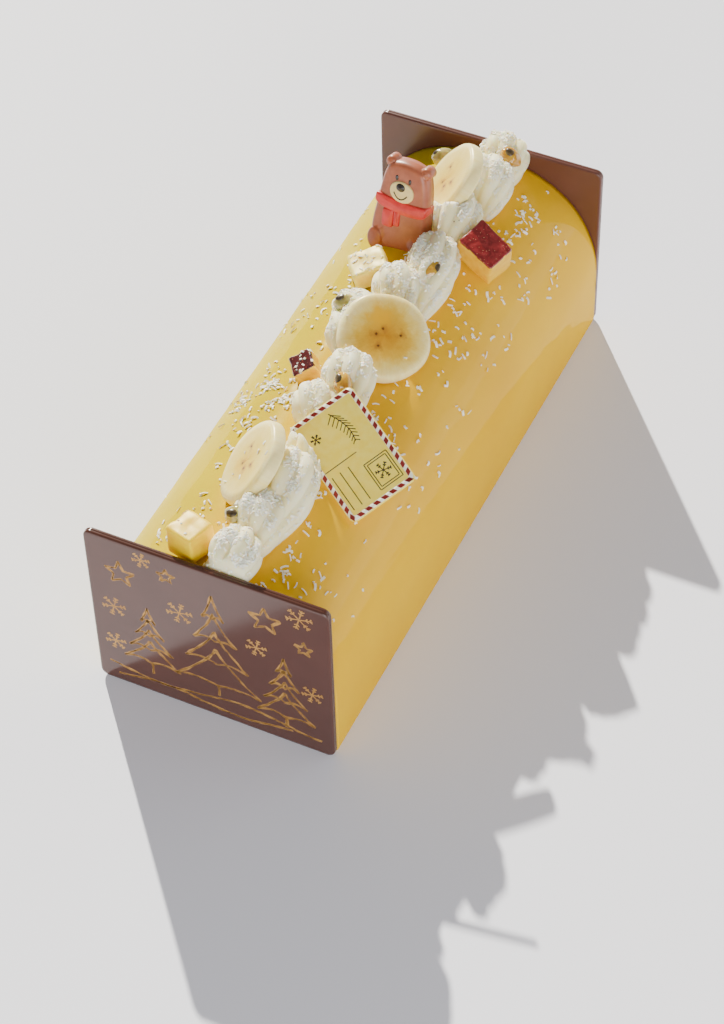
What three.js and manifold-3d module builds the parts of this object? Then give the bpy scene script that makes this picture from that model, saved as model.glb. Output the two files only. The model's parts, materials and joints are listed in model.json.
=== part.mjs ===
// Yule log cake: a glazed log between two chocolate plates, with a row of piped
// cream, banana slices, fruit cubes, seeds in their pulp, a chocolate bear, a thin
// card and grated coconut along its top.
// Millimetres, +Z up. X runs across the log, Y along it, and the origin lies under
// the middle of the cake, on the table.
import * as THREE from 'three';
import { mergeVertices } from 'three/addons/utils/BufferGeometryUtils.js';
import Module from 'manifold-3d';

const wasm = await Module();
wasm.setup();

// Driving dimensions
const PLATE_W = 92;
const PLATE_H = 76.5;
const PLATE_T = 2.7;
const PLATE_CORNER_R = 3;
const PLATE_EDGE = 0.6;
const CAKE_LENGTH = 240;
const GAP = 0.3;
const ROOM = 0.36;

const LOG_HALF_W = 46;
const LOG_SIDE_H = 24;
const LOG_ARCH_H = 47;
const LOG_ARCH_POWER = 2.25;
const LOG_ARCH_STEPS = 40;
const LOG_FOOT_R = 1.5;
const LOG_HALF_L = CAKE_LENGTH / 2 - PLATE_T - GAP;

const SHELL_RIDGES = 8;
const SHELL_RIDGE_DEPTH = 0.12;
const SHELL_RINGS = 9;
const SHELL_HEAD = 0.34;
const SHELL_TAIL_SIZE = 0.2;
const SHELL_SINK = 0.55;
const SHELL_BOW = 2.5;
const BED_ACROSS = 4.5;
const BED_HALF_W = 7.5;
const BED_H = 7;
const PRESSED_IN = ['banana_front', 'banana_middle', 'banana_back', 'card'];
const PRESS_ROOM = 24;

const BANANA_T = 5;
const BANANA_STEPS = 30;
const BANANA_EDGE = 0.8;

const CARD_L = 41;
const CARD_W = 27;
const CARD_T = 1.4;
const CARD_CORNER_R = 2.5;
const CARD_EDGE = 0.25;

const BEAR_LEAN = 15;
const BEAR_YAW = -7;
const BEAR_SOLE = [-10.8, 59.9, 65.2];

const SEED_SIZE = [4.4, 3.3, 3.1];
const SHRED_L = [1.6, 3.6];
const SHRED_W = 0.95;
const SHRED_T = 1.0;
const SHREDS_ON_LOG = 74;
const SHREDS_ON_CREAM = 18;
const SHRED_RISE = 0.2;
const SHRED_PATCH = [-20, -31];
const SMOOTHED = 0.05;
const SEED_NUMBER = 20;

// Materials
const finish = (color, roughness) => new THREE.MeshStandardMaterial({ color, roughness, metalness: 0 });
const YELLOW_GLAZE = finish(0xe8c42c, 0.12);
const MILK_CHOCOLATE = finish(0x7a5248, 0.3);
const WHIPPED_CREAM = finish(0xf3eee0, 0.55);
const BANANA_FLESH = finish(0xf0e2b4, 0.4);
const YELLOW_FRUIT = finish(0xf0cf5a, 0.3);
const RED_SKIN = finish(0x9a2630, 0.25);
const BEAR_CHOCOLATE = finish(0xb0634a, 0.4);
const IVORY_CARD = finish(0xf0e3ae, 0.35);
const FRUIT_PULP = finish(0xc98a1c, 0.2);

// The same draws every time
let drawState = SEED_NUMBER;
const draw = () => {
  drawState = (drawState * 1664525 + 1013904223) % 4294967296;
  return drawState / 4294967296;
};
const between = (low, high) => low + (high - low) * draw();

// Closed meshes as solids, and back
function toSolid(geometry, matrix) {
  const bare = geometry.clone();
  if (matrix) bare.applyMatrix4(matrix);
  bare.deleteAttribute('normal');
  bare.deleteAttribute('uv');
  const merged = mergeVertices(bare, 1e-4);
  return new wasm.Manifold(new wasm.Mesh({
    numProp: 3,
    vertProperties: new Float32Array(merged.attributes.position.array),
    triVerts: new Uint32Array(merged.index.array),
  }));
}

function toGeometry(solid) {
  const { vertProperties, triVerts } = solid.getMesh();
  const geometry = new THREE.BufferGeometry();
  geometry.setAttribute('position', new THREE.BufferAttribute(new Float32Array(vertProperties), 3));
  geometry.setIndex(new THREE.BufferAttribute(new Uint32Array(triVerts), 1));
  geometry.computeVertexNormals();
  return geometry;
}

const biggestBody = (solid) => solid.decompose().sort((a, b) => b.volume() - a.volume())[0];

function named(name, geometry, material, matrix) {
  const mesh = new THREE.Mesh(geometry, material);
  mesh.name = name;
  if (matrix) matrix.decompose(mesh.position, mesh.quaternion, mesh.scale);
  mesh.updateMatrix();
  return mesh;
}

// A place given by a centre, the way the top faces and the way the long side runs
function pose(centre, facing, along) {
  const z = new THREE.Vector3(...facing).normalize();
  const x = new THREE.Vector3(...along);
  x.addScaledVector(z, -x.dot(z)).normalize();
  const y = new THREE.Vector3().crossVectors(z, x);
  return new THREE.Matrix4().makeBasis(x, y, z).setPosition(...centre);
}

// Rings of points joined into a closed skin, with a point at each end
function loft(rings, firstPoint, lastPoint) {
  const count = rings[0].length;
  const positions = rings.flat().flatMap((p) => [p.x, p.y, p.z]);
  positions.push(firstPoint.x, firstPoint.y, firstPoint.z, lastPoint.x, lastPoint.y, lastPoint.z);
  const first = rings.length * count;
  const last = first + 1;
  const index = [];
  for (let i = 0; i < count; i++) {
    const j = (i + 1) % count;
    index.push(first, j, i);
    for (let r = 0; r + 1 < rings.length; r++) {
      const a = r * count;
      const b = a + count;
      index.push(a + i, a + j, b + i, a + j, b + j, b + i);
    }
    const end = (rings.length - 1) * count;
    index.push(last, end + i, end + j);
  }
  const geometry = new THREE.BufferGeometry();
  geometry.setAttribute('position', new THREE.BufferAttribute(new Float32Array(positions), 3));
  geometry.setIndex(index);
  return geometry;
}

// An outline extruded to a slab about z = 0, its edges rounded off
function slab(shape, thickness, edge, segments = 1, curveSegments = 4) {
  const geometry = new THREE.ExtrudeGeometry(shape, {
    depth: thickness - 2 * edge,
    bevelThickness: edge,
    bevelSize: edge,
    bevelOffset: -edge,
    bevelSegments: segments,
    curveSegments,
  });
  return geometry.translate(0, 0, -(thickness - 2 * edge) / 2);
}

// A closed outline with one point for each step of a full turn
function ringOf(steps, pointAt) {
  const points = [];
  for (let i = 0; i < steps; i++) points.push(pointAt(2 * Math.PI * (i + 0.5) / steps));
  return new THREE.Shape(points);
}

function roundedRectangle(width, height, radius) {
  const x = width / 2;
  const y = height / 2;
  const shape = new THREE.Shape();
  shape.moveTo(-x + radius, -y);
  shape.lineTo(x - radius, -y);
  shape.absarc(x - radius, -y + radius, radius, -Math.PI / 2, 0);
  shape.lineTo(x, y - radius);
  shape.absarc(x - radius, y - radius, radius, 0, Math.PI / 2);
  shape.lineTo(-x + radius, y);
  shape.absarc(-x + radius, y - radius, radius, Math.PI / 2, Math.PI);
  shape.lineTo(-x, -y + radius);
  shape.absarc(-x + radius, -y + radius, radius, Math.PI, 1.5 * Math.PI);
  return shape;
}

// The log: straight sides below, a full arch above
const archHeight = (x, grow = 0) => {
  const share = Math.min(1, Math.abs(x) / (LOG_HALF_W + grow));
  return LOG_SIDE_H + (LOG_ARCH_H + grow) * (1 - share ** LOG_ARCH_POWER) ** (1 / LOG_ARCH_POWER);
};

function archNormal(x) {
  const across = Math.sign(x) * (Math.abs(x) / LOG_HALF_W) ** (LOG_ARCH_POWER - 1) / LOG_HALF_W;
  const up = ((archHeight(x) - LOG_SIDE_H) / LOG_ARCH_H) ** (LOG_ARCH_POWER - 1) / LOG_ARCH_H;
  return new THREE.Vector3(across, 0, up).normalize();
}

function logGeometry(grow, halfLength, bottom) {
  const half = LOG_HALF_W + grow;
  const shape = new THREE.Shape();
  shape.moveTo(-half + LOG_FOOT_R, bottom);
  shape.lineTo(half - LOG_FOOT_R, bottom);
  shape.lineTo(half, bottom + LOG_FOOT_R);
  for (let i = 0; i <= LOG_ARCH_STEPS; i++) {
    const turn = Math.PI * i / LOG_ARCH_STEPS;
    const x = half * Math.sign(Math.cos(turn)) * Math.abs(Math.cos(turn)) ** (2 / LOG_ARCH_POWER);
    const z = (LOG_ARCH_H + grow) * Math.abs(Math.sin(turn)) ** (2 / LOG_ARCH_POWER);
    shape.lineTo(x, LOG_SIDE_H + z);
  }
  shape.lineTo(-half, bottom + LOG_FOOT_R);
  const geometry = new THREE.ExtrudeGeometry(shape, { depth: 2 * halfLength, bevelEnabled: false });
  return geometry.rotateX(Math.PI / 2).translate(0, halfLength, 0);
}

const bareLog = toSolid(logGeometry(0, LOG_HALF_L, 0));
const logRoom = toSolid(logGeometry(GAP, LOG_HALF_L + 20, -5));

// Chocolate end plates
function endPlate(name, side) {
  const outline = roundedRectangle(PLATE_W, PLATE_H, PLATE_CORNER_R);
  const turn = pose([0, side * (CAKE_LENGTH - PLATE_T) / 2, PLATE_H / 2], [0, side, 0], [-side, 0, 0]);
  return named(name, slab(outline, PLATE_T, PLATE_EDGE), MILK_CHOCOLATE, turn);
}

// Banana slices: round with five faint corners, and a rounded edge
function bananaSlice(name, radius, centre, facing, along) {
  const outline = ringOf(BANANA_STEPS, (turn) => {
    const r = radius * (1 + 0.015 * Math.cos(5 * turn) + 0.02 * Math.cos(2 * turn));
    return new THREE.Vector2(r * Math.cos(turn), r * Math.sin(turn));
  });
  return named(name, slab(outline, BANANA_T, BANANA_EDGE), BANANA_FLESH, pose(centre, facing, along));
}

// Fruit cubes cut by hand: one end a little narrower than the other
function fruitCube(name, size, material, centre, facing, along) {
  const [length, width, height] = size;
  const geometry = slab(roundedRectangle(length, width, 1), height, 0.8, 1, 2);
  const position = geometry.attributes.position;
  for (let i = 0; i < position.count; i++) {
    const taper = 1 - 0.06 * position.getX(i) / length;
    const slope = 1 - 0.08 * position.getZ(i) / height;
    position.setXYZ(i, position.getX(i) * slope, position.getY(i) * taper, position.getZ(i));
  }
  return named(name, geometry, material, pose(centre, facing, along));
}

// The thin card
function card(centre, facing, along) {
  const outline = roundedRectangle(CARD_L, CARD_W, CARD_CORNER_R);
  return named('card', slab(outline, CARD_T, CARD_EDGE), IVORY_CARD, pose(centre, facing, along));
}

// A seed in its drop of pulp, pointed at one end
function seedInPulp(name, centre, facing, along) {
  const geometry = new THREE.SphereGeometry(1, 12, 7);
  const position = geometry.attributes.position;
  for (let i = 0; i < position.count; i++) {
    const x = position.getX(i);
    const narrow = 1 - 0.25 * x * x * Math.max(0, x);
    position.setXYZ(i, x * SEED_SIZE[0], position.getY(i) * narrow * SEED_SIZE[1],
      position.getZ(i) * narrow * SEED_SIZE[2]);
  }
  return named(name, geometry, FRUIT_PULP, pose(centre, facing, along));
}

// The bear, cast in a flat mould: its relief rises from a flat back
const oval = (width, height, power = 2, steps = 16) => ringOf(steps, (turn) => {
  const x = Math.sign(Math.cos(turn)) * Math.abs(Math.cos(turn)) ** (2 / power);
  const y = Math.sign(Math.sin(turn)) * Math.abs(Math.sin(turn)) ** (2 / power);
  return new THREE.Vector2(x * width / 2, y * height / 2);
});

function bearSolid() {
  const lumps = [
    // outline, thickness, edge, across, up, turned by degrees, out of the back
    [oval(24, 24, 2.6, 22), 6.0, 1.6, 0.2, 11.5, 0],
    [oval(17.5, 19, 2.6, 22), 6.4, 1.6, 0.2, 28.5, 0],
    [oval(5.6, 5.6), 4.6, 1.2, -7.2, 36.4, 0],
    [oval(5.6, 5.6), 4.6, 1.2, 7.6, 36.4, 0],
    [oval(6.4, 9.6), 6.9, 1.4, -9, 4.9, 8],
    [oval(6.4, 9.6), 6.9, 1.4, 9.4, 4.9, -8],
    [oval(9.4, 8.8), 7.4, 1.3, 0.1, 28.2, 0],
    [oval(3.6, 3.2, 2, 12), 8.2, 0.8, 0.1, 30.8, 0],
    [oval(23.6, 5.5, 3), 7.2, 1.2, 0.1, 20.5, 0],
    [oval(6.9, 7.1, 4, 16), 7.5, 0.9, -3.2, 15.8, 4],
  ];
  const solids = lumps.map(([outline, thickness, edge, across, up, turned]) => {
    const geometry = slab(outline, thickness, edge, 2);
    geometry.rotateZ(THREE.MathUtils.degToRad(turned)).translate(across, up, thickness / 2);
    return toSolid(geometry);
  });
  return wasm.Manifold.union(solids);
}

function bear() {
  const upright = new THREE.Matrix4().makeRotationX(Math.PI / 2 - THREE.MathUtils.degToRad(BEAR_LEAN));
  const turned = new THREE.Matrix4().makeRotationZ(THREE.MathUtils.degToRad(BEAR_YAW));
  const matrix = new THREE.Matrix4().makeTranslation(...BEAR_SOLE).multiply(turned).multiply(upright);
  const standing = toSolid(toGeometry(bearSolid()), matrix);
  return named('bear', toGeometry(biggestBody(standing.subtract(logRoom))), BEAR_CHOCOLATE);
}

// Toppings, from the front plate to the back plate
const toppings = [
  fruitCube('fruit_cube_front', [12, 12, 11], YELLOW_FRUIT,
    [-10.5, -108.2, 77.0], [-0.1, 0.04, 0.99], [0.3, 0.95, 0]),
  seedInPulp('seed_front', [0.1, -95.2, 79.4], [0, -0.6, 0.8], [1, 0.2, 0]),
  bananaSlice('banana_front', 15.8, [-3.6, -75.7, 84.2], [-0.70, -0.30, 0.65], [0.3, 0.9, 0.5]),
  card([21.9, -51.4, 76.2], [0.07, -0.52, 0.85], [0.82, -0.45, -0.35]),
  seedInPulp('seed_card', [8.3, -29.3, 84.6], [-0.4, -0.6, 0.7], [0.3, -1, 0]),
  fruitCube('red_cube_left', [9, 9.5, 7], RED_SKIN, [-11.6, -19.2, 75.4], [-0.35, -0.25, 0.9], [0.8, 0.6, 0]),
  bananaSlice('banana_middle', 16.6, [9.5, 1.5, 80.2], [0.35, -0.35, 0.87], [1, 0, 0]),
  seedInPulp('seed_left', [-9.6, 9.9, 82.6], [-0.2, 0, 1], [0.9, 0.6, 0]),
  fruitCube('fruit_cube_bear', [14, 12.5, 8], YELLOW_FRUIT,
    [-13.0, 37.0, 75.2], [-0.22, -0.12, 0.96], [0.8, 0.6, 0]),
  bear(),
  seedInPulp('seed_middle', [11.9, 37.6, 82.0], [0.7, -0.3, 0.6], [0.3, -1, 0]),
  fruitCube('red_cube_right', [17, 12.5, 12.5], RED_SKIN,
    [22.4, 61.0, 76.0], [0.22, -0.28, 0.93], [0.92, -0.3, -0.3]),
  bananaSlice('banana_back', 15.8, [-0.4, 82.6, 84.2], [-0.70, -0.30, 0.65], [0.3, 0.9, 0.5]),
  seedInPulp('seed_left_back', [-14.5, 106, 73.5], [-0.3, 0, 1], [0.8, 0.6, 0]),
  seedInPulp('seed_back', [13.2, 106.6, 82.2], [0.4, -0.3, 0.9], [1, -0.2, 0]),
];

// A piece a little larger all round than the one it makes room for
function roomFor(mesh) {
  mesh.geometry.computeBoundingBox();
  const size = mesh.geometry.boundingBox.getSize(new THREE.Vector3());
  const centre = mesh.geometry.boundingBox.getCenter(new THREE.Vector3());
  const grown = mesh.geometry.clone().translate(-centre.x, -centre.y, -centre.z);
  grown.scale(1 + 2 * ROOM / size.x, 1 + 2 * ROOM / size.y, 1 + 2 * ROOM / size.z);
  grown.translate(centre.x, centre.y, centre.z);
  return toSolid(grown, mesh.matrix);
}

// The same for a piece with hollows: copies of it moved a little every way
function roomForRelief(mesh) {
  const solid = toSolid(mesh.geometry, mesh.matrix);
  const moved = [-ROOM, ROOM].flatMap((x) => [-ROOM, ROOM].flatMap((y) => [-ROOM, ROOM].map(
    (z) => solid.translate([x, y, z]))));
  return wasm.Manifold.union([solid, ...moved]);
}

// The space above a flat piece that is pressed into the cream
function roomAbove(mesh) {
  const size = mesh.geometry.boundingBox.getSize(new THREE.Vector3());
  const column = mesh.geometry.clone().scale(1 - 2 / size.x, 1 - 2 / size.y, 1);
  const position = column.attributes.position;
  const rise = new THREE.Vector3(0, 0, PRESS_ROOM).transformDirection(mesh.matrix.clone().invert());
  for (let i = 0; i < position.count; i++) {
    if (position.getZ(i) > 0) {
      position.setXYZ(i, position.getX(i) + rise.x * PRESS_ROOM, position.getY(i) + rise.y * PRESS_ROOM,
        position.getZ(i) + rise.z * PRESS_ROOM);
    }
  }
  return toSolid(column, mesh.matrix);
}

// One piped shell of cream: a ridged drop with its head at the back and its tail
// drawn out to the front and right
function shell(tail, head, radius, lift) {
  const count = SHELL_RIDGES * 2;
  const from = new THREE.Vector2(...head);
  const to = new THREE.Vector2(...tail);
  const run = new THREE.Vector2().subVectors(to, from).normalize();
  const side = run.clone().rotateAround(new THREE.Vector2(), Math.PI / 2);
  const spine = (t) => {
    const bow = SHELL_BOW * Math.sin(Math.PI * t);
    const x = from.x + (to.x - from.x) * t + side.x * bow;
    const y = from.y + (to.y - from.y) * t + side.y * bow;
    return new THREE.Vector3(x, y, archHeight(x) + size(t) * SHELL_SINK + lift * (1 - t));
  };
  const size = (t) => {
    if (t < SHELL_HEAD) return radius * Math.sqrt(1 - (1 - t / SHELL_HEAD) ** 2);
    const fall = (t - SHELL_HEAD) / (1 - SHELL_HEAD);
    return radius * (1 - (1 - SHELL_TAIL_SIZE) * fall ** 1.5);
  };
  const rings = [];
  for (let i = 1; i < SHELL_RINGS; i++) {
    const t = (i / SHELL_RINGS) ** 1.25;
    const tangent = spine(t + 0.02).sub(spine(t - 0.02)).normalize();
    const across = new THREE.Vector3().crossVectors(tangent, new THREE.Vector3(0, 0, 1)).normalize();
    const up = new THREE.Vector3().crossVectors(across, tangent);
    const ring = [];
    for (let k = 0; k < count; k++) {
      const turn = -2 * Math.PI * k / count;
      const ridge = 1 + SHELL_RIDGE_DEPTH * Math.cos(SHELL_RIDGES * turn);
      const r = size(t) * ridge;
      ring.push(spine(t).addScaledVector(across, r * Math.cos(turn)).addScaledVector(up, r * Math.sin(turn)));
    }
    rings.push(ring);
  }
  return toSolid(loft(rings, spine(0), spine(1)));
}

// The row of shells: tail, head (both across and along), radius, extra height at the head
const SHELLS = [
  [[6.5, -126], [3.5, -101], 8.5, 3],
  [[9.5, -106], [2, -83], 9, 3],
  [[12, -97], [4.5, -64], 10, 5],
  [[11, -68], [2, -47], 8, 0],
  [[9, -50], [-6, -30], 8.5, 0],
  [[10, -37], [1, -13], 9, 5],
  [[4, -16], [-10, 10], 9, 0],
  [[13, -9], [-15, 18], 9, 0],
  [[9, 13], [-4.5, 36], 9, 1],
  [[12.5, 19], [4, 58], 9, 3.5],
  [[10, 52], [1, 80], 9.5, 4],
  [[12.5, 81], [3.5, 102], 9.5, 3],
  [[11.5, 97], [3, 120], 9, 1],
];

// The low bed of cream under the shells, which joins them
function creamBed() {
  const outline = ringOf(16, (turn) => new THREE.Vector2(
    BED_ACROSS + BED_HALF_W * Math.cos(turn), archHeight(BED_ACROSS) + BED_H * Math.sin(turn)));
  const geometry = new THREE.ExtrudeGeometry(outline, { depth: 2 * LOG_HALF_L, bevelEnabled: false });
  return toSolid(geometry.rotateX(Math.PI / 2).translate(0, LOG_HALF_L, 0));
}

const stretch = toSolid(new THREE.BoxGeometry(200, 2 * LOG_HALF_L - 0.2, 400));
const heap = wasm.Manifold.union([creamBed(), ...SHELLS.map((row) => shell(...row))]).intersect(stretch);
const rooms = toppings.map((mesh) => (mesh.name === 'bear' ? roomForRelief(mesh) : roomFor(mesh)));
const pressed = toppings.filter((mesh) => PRESSED_IN.includes(mesh.name)).map(roomAbove);
const bareCream = biggestBody(heap.subtract(wasm.Manifold.union([logRoom, ...rooms, ...pressed])).simplify(SMOOTHED));

// Grated coconut: short bent strips, partly sunk in what they lie on
function shred(at, normal, reach) {
  const length = between(...SHRED_L) * reach;
  const turn = between(0, Math.PI);
  const flat = new THREE.Vector3(Math.cos(turn), Math.sin(turn), 0);
  const geometry = new THREE.BoxGeometry(length, SHRED_W, SHRED_T, 2, 1, 1);
  const position = geometry.attributes.position;
  const bend = between(-0.6, 0.6);
  for (let i = 0; i < position.count; i++) {
    const x = position.getX(i) / length;
    position.setY(i, position.getY(i) * (1 - x * x) + bend * (1 - 4 * x * x));
  }
  const raised = new THREE.Vector3(...at).addScaledVector(normal, SHRED_RISE);
  return [geometry, pose(raised.toArray(), normal.toArray(), flat.toArray())];
}

const crowd = wasm.Manifold.union([...rooms, toSolid(toGeometry(bareCream))]);
const isClear = (geometry, matrix, others) => {
  const grown = geometry.clone().scale(1.3, 1.9, 2.2);
  return toSolid(grown, matrix).intersect(others).isEmpty();
};

function shredsOnLog() {
  const laid = [];
  while (laid.length < SHREDS_ON_LOG) {
    const isInPatch = draw() < 0.3;
    const spread = draw() + draw() + draw() - 1.5;
    const x = isInPatch ? SHRED_PATCH[0] + 9 * spread : 3 + 26 * spread;
    const y = isInPatch ? SHRED_PATCH[1] + between(-14, 14) : between(-LOG_HALF_L + 3, LOG_HALF_L - 3);
    const normal = archNormal(x);
    const at = [x, y, archHeight(x)];
    const [geometry, matrix] = shred(at, normal, 1);
    if (isClear(geometry, matrix, crowd)) laid.push(toSolid(geometry, matrix));
  }
  return laid;
}

function shredsOnCream() {
  const { vertProperties, triVerts } = bareCream.getMesh();
  const corner = (i) => new THREE.Vector3().fromArray(vertProperties, triVerts[i] * 3);
  const others = wasm.Manifold.union(rooms);
  const laid = [];
  while (laid.length < SHREDS_ON_CREAM) {
    const i = 3 * Math.floor(draw() * triVerts.length / 3);
    const triangle = new THREE.Triangle(corner(i), corner(i + 1), corner(i + 2));
    const normal = triangle.getNormal(new THREE.Vector3());
    const isWide = triangle.getArea() > 1.5;
    if (normal.z < 0.6 || !isWide) continue;
    const at = triangle.getMidpoint(new THREE.Vector3());
    if (Math.abs(at.y) > LOG_HALF_L - 3) continue;
    const [geometry, matrix] = shred(at.toArray(), normal, 0.8);
    if (isClear(geometry, matrix, others)) laid.push(toSolid(geometry, matrix));
  }
  return laid;
}

const cream = biggestBody(wasm.Manifold.union([bareCream, ...shredsOnCream()]));
const log = biggestBody(wasm.Manifold.union([bareLog, ...shredsOnLog()]));

const cake = new THREE.Group();
cake.add(named('log', toGeometry(log), YELLOW_GLAZE));
cake.add(endPlate('end_plate_front', -1), endPlate('end_plate_back', 1));
cake.add(named('cream', toGeometry(cream), WHIPPED_CREAM));
cake.add(...toppings);

export default cake;
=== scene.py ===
# %% [markdown]
# # A yule log cake
# An arched log of mousse under a mirror glaze, closed at each end by a plate of milk chocolate. A row of
# piped cream runs along the top, with banana, fruit cubes, passion fruit seeds, a chocolate bear, a thin
# card and grated coconut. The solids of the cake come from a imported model: this lesson dresses them.

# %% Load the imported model
import json
import math

import bmesh
import bpy
from mathutils import Matrix, Vector, noise
from mathutils.bvhtree import BVHTree

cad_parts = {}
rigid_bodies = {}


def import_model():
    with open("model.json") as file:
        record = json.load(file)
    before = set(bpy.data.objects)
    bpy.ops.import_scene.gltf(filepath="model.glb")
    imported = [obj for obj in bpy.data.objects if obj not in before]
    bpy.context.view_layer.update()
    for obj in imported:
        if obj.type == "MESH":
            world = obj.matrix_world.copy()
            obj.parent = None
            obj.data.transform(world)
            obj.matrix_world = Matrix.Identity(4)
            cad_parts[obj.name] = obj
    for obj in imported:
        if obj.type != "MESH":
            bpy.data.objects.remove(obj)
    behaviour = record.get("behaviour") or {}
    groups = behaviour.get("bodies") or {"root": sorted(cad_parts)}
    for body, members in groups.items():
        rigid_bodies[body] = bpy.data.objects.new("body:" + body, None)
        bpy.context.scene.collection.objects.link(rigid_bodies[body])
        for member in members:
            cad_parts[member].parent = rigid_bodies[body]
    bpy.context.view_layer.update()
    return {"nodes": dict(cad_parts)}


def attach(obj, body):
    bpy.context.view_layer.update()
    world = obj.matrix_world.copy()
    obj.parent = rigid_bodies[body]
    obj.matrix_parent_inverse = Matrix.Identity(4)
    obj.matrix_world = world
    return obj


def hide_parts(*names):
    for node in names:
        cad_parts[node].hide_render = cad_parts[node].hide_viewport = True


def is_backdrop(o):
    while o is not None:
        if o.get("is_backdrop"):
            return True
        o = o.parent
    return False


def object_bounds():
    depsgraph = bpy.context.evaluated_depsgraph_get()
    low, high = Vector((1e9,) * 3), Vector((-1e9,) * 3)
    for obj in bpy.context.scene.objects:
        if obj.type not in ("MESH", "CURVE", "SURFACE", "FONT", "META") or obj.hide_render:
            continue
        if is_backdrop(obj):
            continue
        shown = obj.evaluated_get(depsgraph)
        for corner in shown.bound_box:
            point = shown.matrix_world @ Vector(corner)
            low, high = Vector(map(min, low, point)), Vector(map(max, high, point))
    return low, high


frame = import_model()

MM = 0.001

# %% [markdown]
# ## The camera
# The photograph looks down on the cake from the front right with a long lens. The place of the camera was
# worked out from the corners of the end plates, so the same point of the cake falls on the same point of
# the picture.

# %% Camera
CAMERA_PLACE = Vector((321.0, -643.5, 780.8)) * MM
CAMERA_AZIMUTH = math.radians(26.55)
CAMERA_ELEVATION = math.radians(47.90)
CAMERA_ROLL = math.radians(-1.74)
FOCAL_LENGTH_PX = 2820
PICTURE_HEIGHT_PX = 1024
SENSOR = 36

away = Vector((math.sin(CAMERA_AZIMUTH), -math.cos(CAMERA_AZIMUTH), 0)) * math.cos(CAMERA_ELEVATION)
backward = away + Vector((0, 0, math.sin(CAMERA_ELEVATION)))
level = Vector((0, 0, 1)).cross(backward).normalized()
upward = backward.cross(level)
rolled_right = math.cos(CAMERA_ROLL) * level + math.sin(CAMERA_ROLL) * upward
rolled_up = backward.cross(rolled_right)

lens = bpy.data.cameras.new("camera")
lens.sensor_width = SENSOR
lens.lens = SENSOR * FOCAL_LENGTH_PX / PICTURE_HEIGHT_PX
camera = bpy.data.objects.new("camera", lens)
bpy.context.scene.collection.objects.link(camera)
turned = Matrix((rolled_right, rolled_up, backward)).transposed().to_4x4()
camera.matrix_world = Matrix.Translation(CAMERA_PLACE) @ turned
bpy.context.scene.camera = camera
print("the lens is", round(lens.lens, 1), "mm long")

# %% [markdown]
# ## Light and floor
# A sun stands for the one strong studio lamp. It comes from behind on the left, low enough for a long
# shadow. Its angle was measured on that shadow. A pale sky and a soft box by the camera fill the shade.
# Four rows of soft boxes, each dimmer than the one below, stand behind on the right and give the glaze
# its sheen.

# %% Lights
KEY_TRAVEL = Vector((0.577, -0.676, -0.458))
KEY_STRENGTH = 11
KEY_COLOUR = (1.0, 0.97, 0.87)
KEY_ANGLE = math.radians(0.8)
SKY_COLOUR = (1.0, 0.98, 0.96, 1)
SKY_STRENGTH = 0.28
PANEL_PLACE = (1.15, 0.95)
PANEL_WIDTH = 1.5
PANEL_ROWS = [(-0.04, 0.3, 2.4), (0.3, 0.65, 1.6), (0.65, 1.0, 0.9), (1.0, 1.4, 0.4)]
FILL_PLACE = Vector((0.75, -1.35, 0.5))
FILL_SIZE = (1.3, 0.8)
FILL_BRIGHTNESS = 7.5


def lamp(name, kind, power, place, travel):
    light = bpy.data.lights.new(name, kind)
    light.energy = power
    made = bpy.data.objects.new(name, light)
    bpy.context.scene.collection.objects.link(made)
    made.matrix_world = Matrix.Translation(place) @ travel.to_track_quat("-Z", "Y").to_matrix().to_4x4()
    return light


key = lamp("key_light", "SUN", KEY_STRENGTH, -KEY_TRAVEL, KEY_TRAVEL)
key.color = KEY_COLOUR
key.angle = KEY_ANGLE


def soft_box(name, place, travel, width, height, brightness):
    light = lamp(name, "AREA", brightness * math.pi * width * height, place, travel)
    light.shape = "RECTANGLE"
    light.size, light.size_y = width, height


for low, high, brightness in PANEL_ROWS:
    place = Vector((*PANEL_PLACE, (low + high) / 2))
    soft_box("soft_panel", place, Vector((-place.x, -place.y, 0)), PANEL_WIDTH, high - low, brightness)
soft_box("soft_fill", FILL_PLACE, -FILL_PLACE, *FILL_SIZE, FILL_BRIGHTNESS)

world = bpy.data.worlds.new("studio")
world.use_nodes = True
world.node_tree.nodes["Background"].inputs["Color"].default_value = SKY_COLOUR
world.node_tree.nodes["Background"].inputs["Strength"].default_value = SKY_STRENGTH
bpy.context.scene.world = world

# %% [markdown]
# ## Helpers
# A node tree reads best when each node is one line. The first helpers add a node, set its options, and
# then wire or set its inputs by name. They serve materials and geometry trees alike. The next ones start
# a material and give it noise, a colour ramp, a blend and a bump.

# %% Add a node to any tree
def feed(tree, node, **inputs):
    """Wires or sets a node's inputs, each by its name, or by its number after an underscore."""
    for name, value in inputs.items():
        plug = node.inputs[int(name[1:])] if name[1:].isdigit() else node.inputs[name.replace("_", " ")]
        if isinstance(value, bpy.types.NodeSocket):
            tree.links.new(value, plug)
        else:
            plug.default_value = value


def add(tree, kind, options=None, **inputs):
    made = tree.nodes.new(kind)
    for option, value in (options or {}).items():
        setattr(made, option, value)
    feed(tree, made, **inputs)
    return made


def sums(tree, how, first, second=0.0, third=0.0):
    return add(tree, "ShaderNodeMath", {"operation": how}, _0=first, _1=second, _2=third).outputs[0]


def xyz(tree, x=0.0, y=0.0, z=0.0):
    return add(tree, "ShaderNodeCombineXYZ", None, X=x, Y=y, Z=z).outputs[0]


# %% Start a material
WHITE, BLACK = (1, 1, 1), (0, 0, 0)


def paint(name, **values):
    made = bpy.data.materials.new(name)
    made.use_nodes = True
    shader = made.node_tree.nodes["Principled BSDF"]
    feed(made.node_tree, shader, **values)
    return made, made.node_tree, shader


def place_of(tree):
    return add(tree, "ShaderNodeTexCoord").outputs["Object"]


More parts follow.
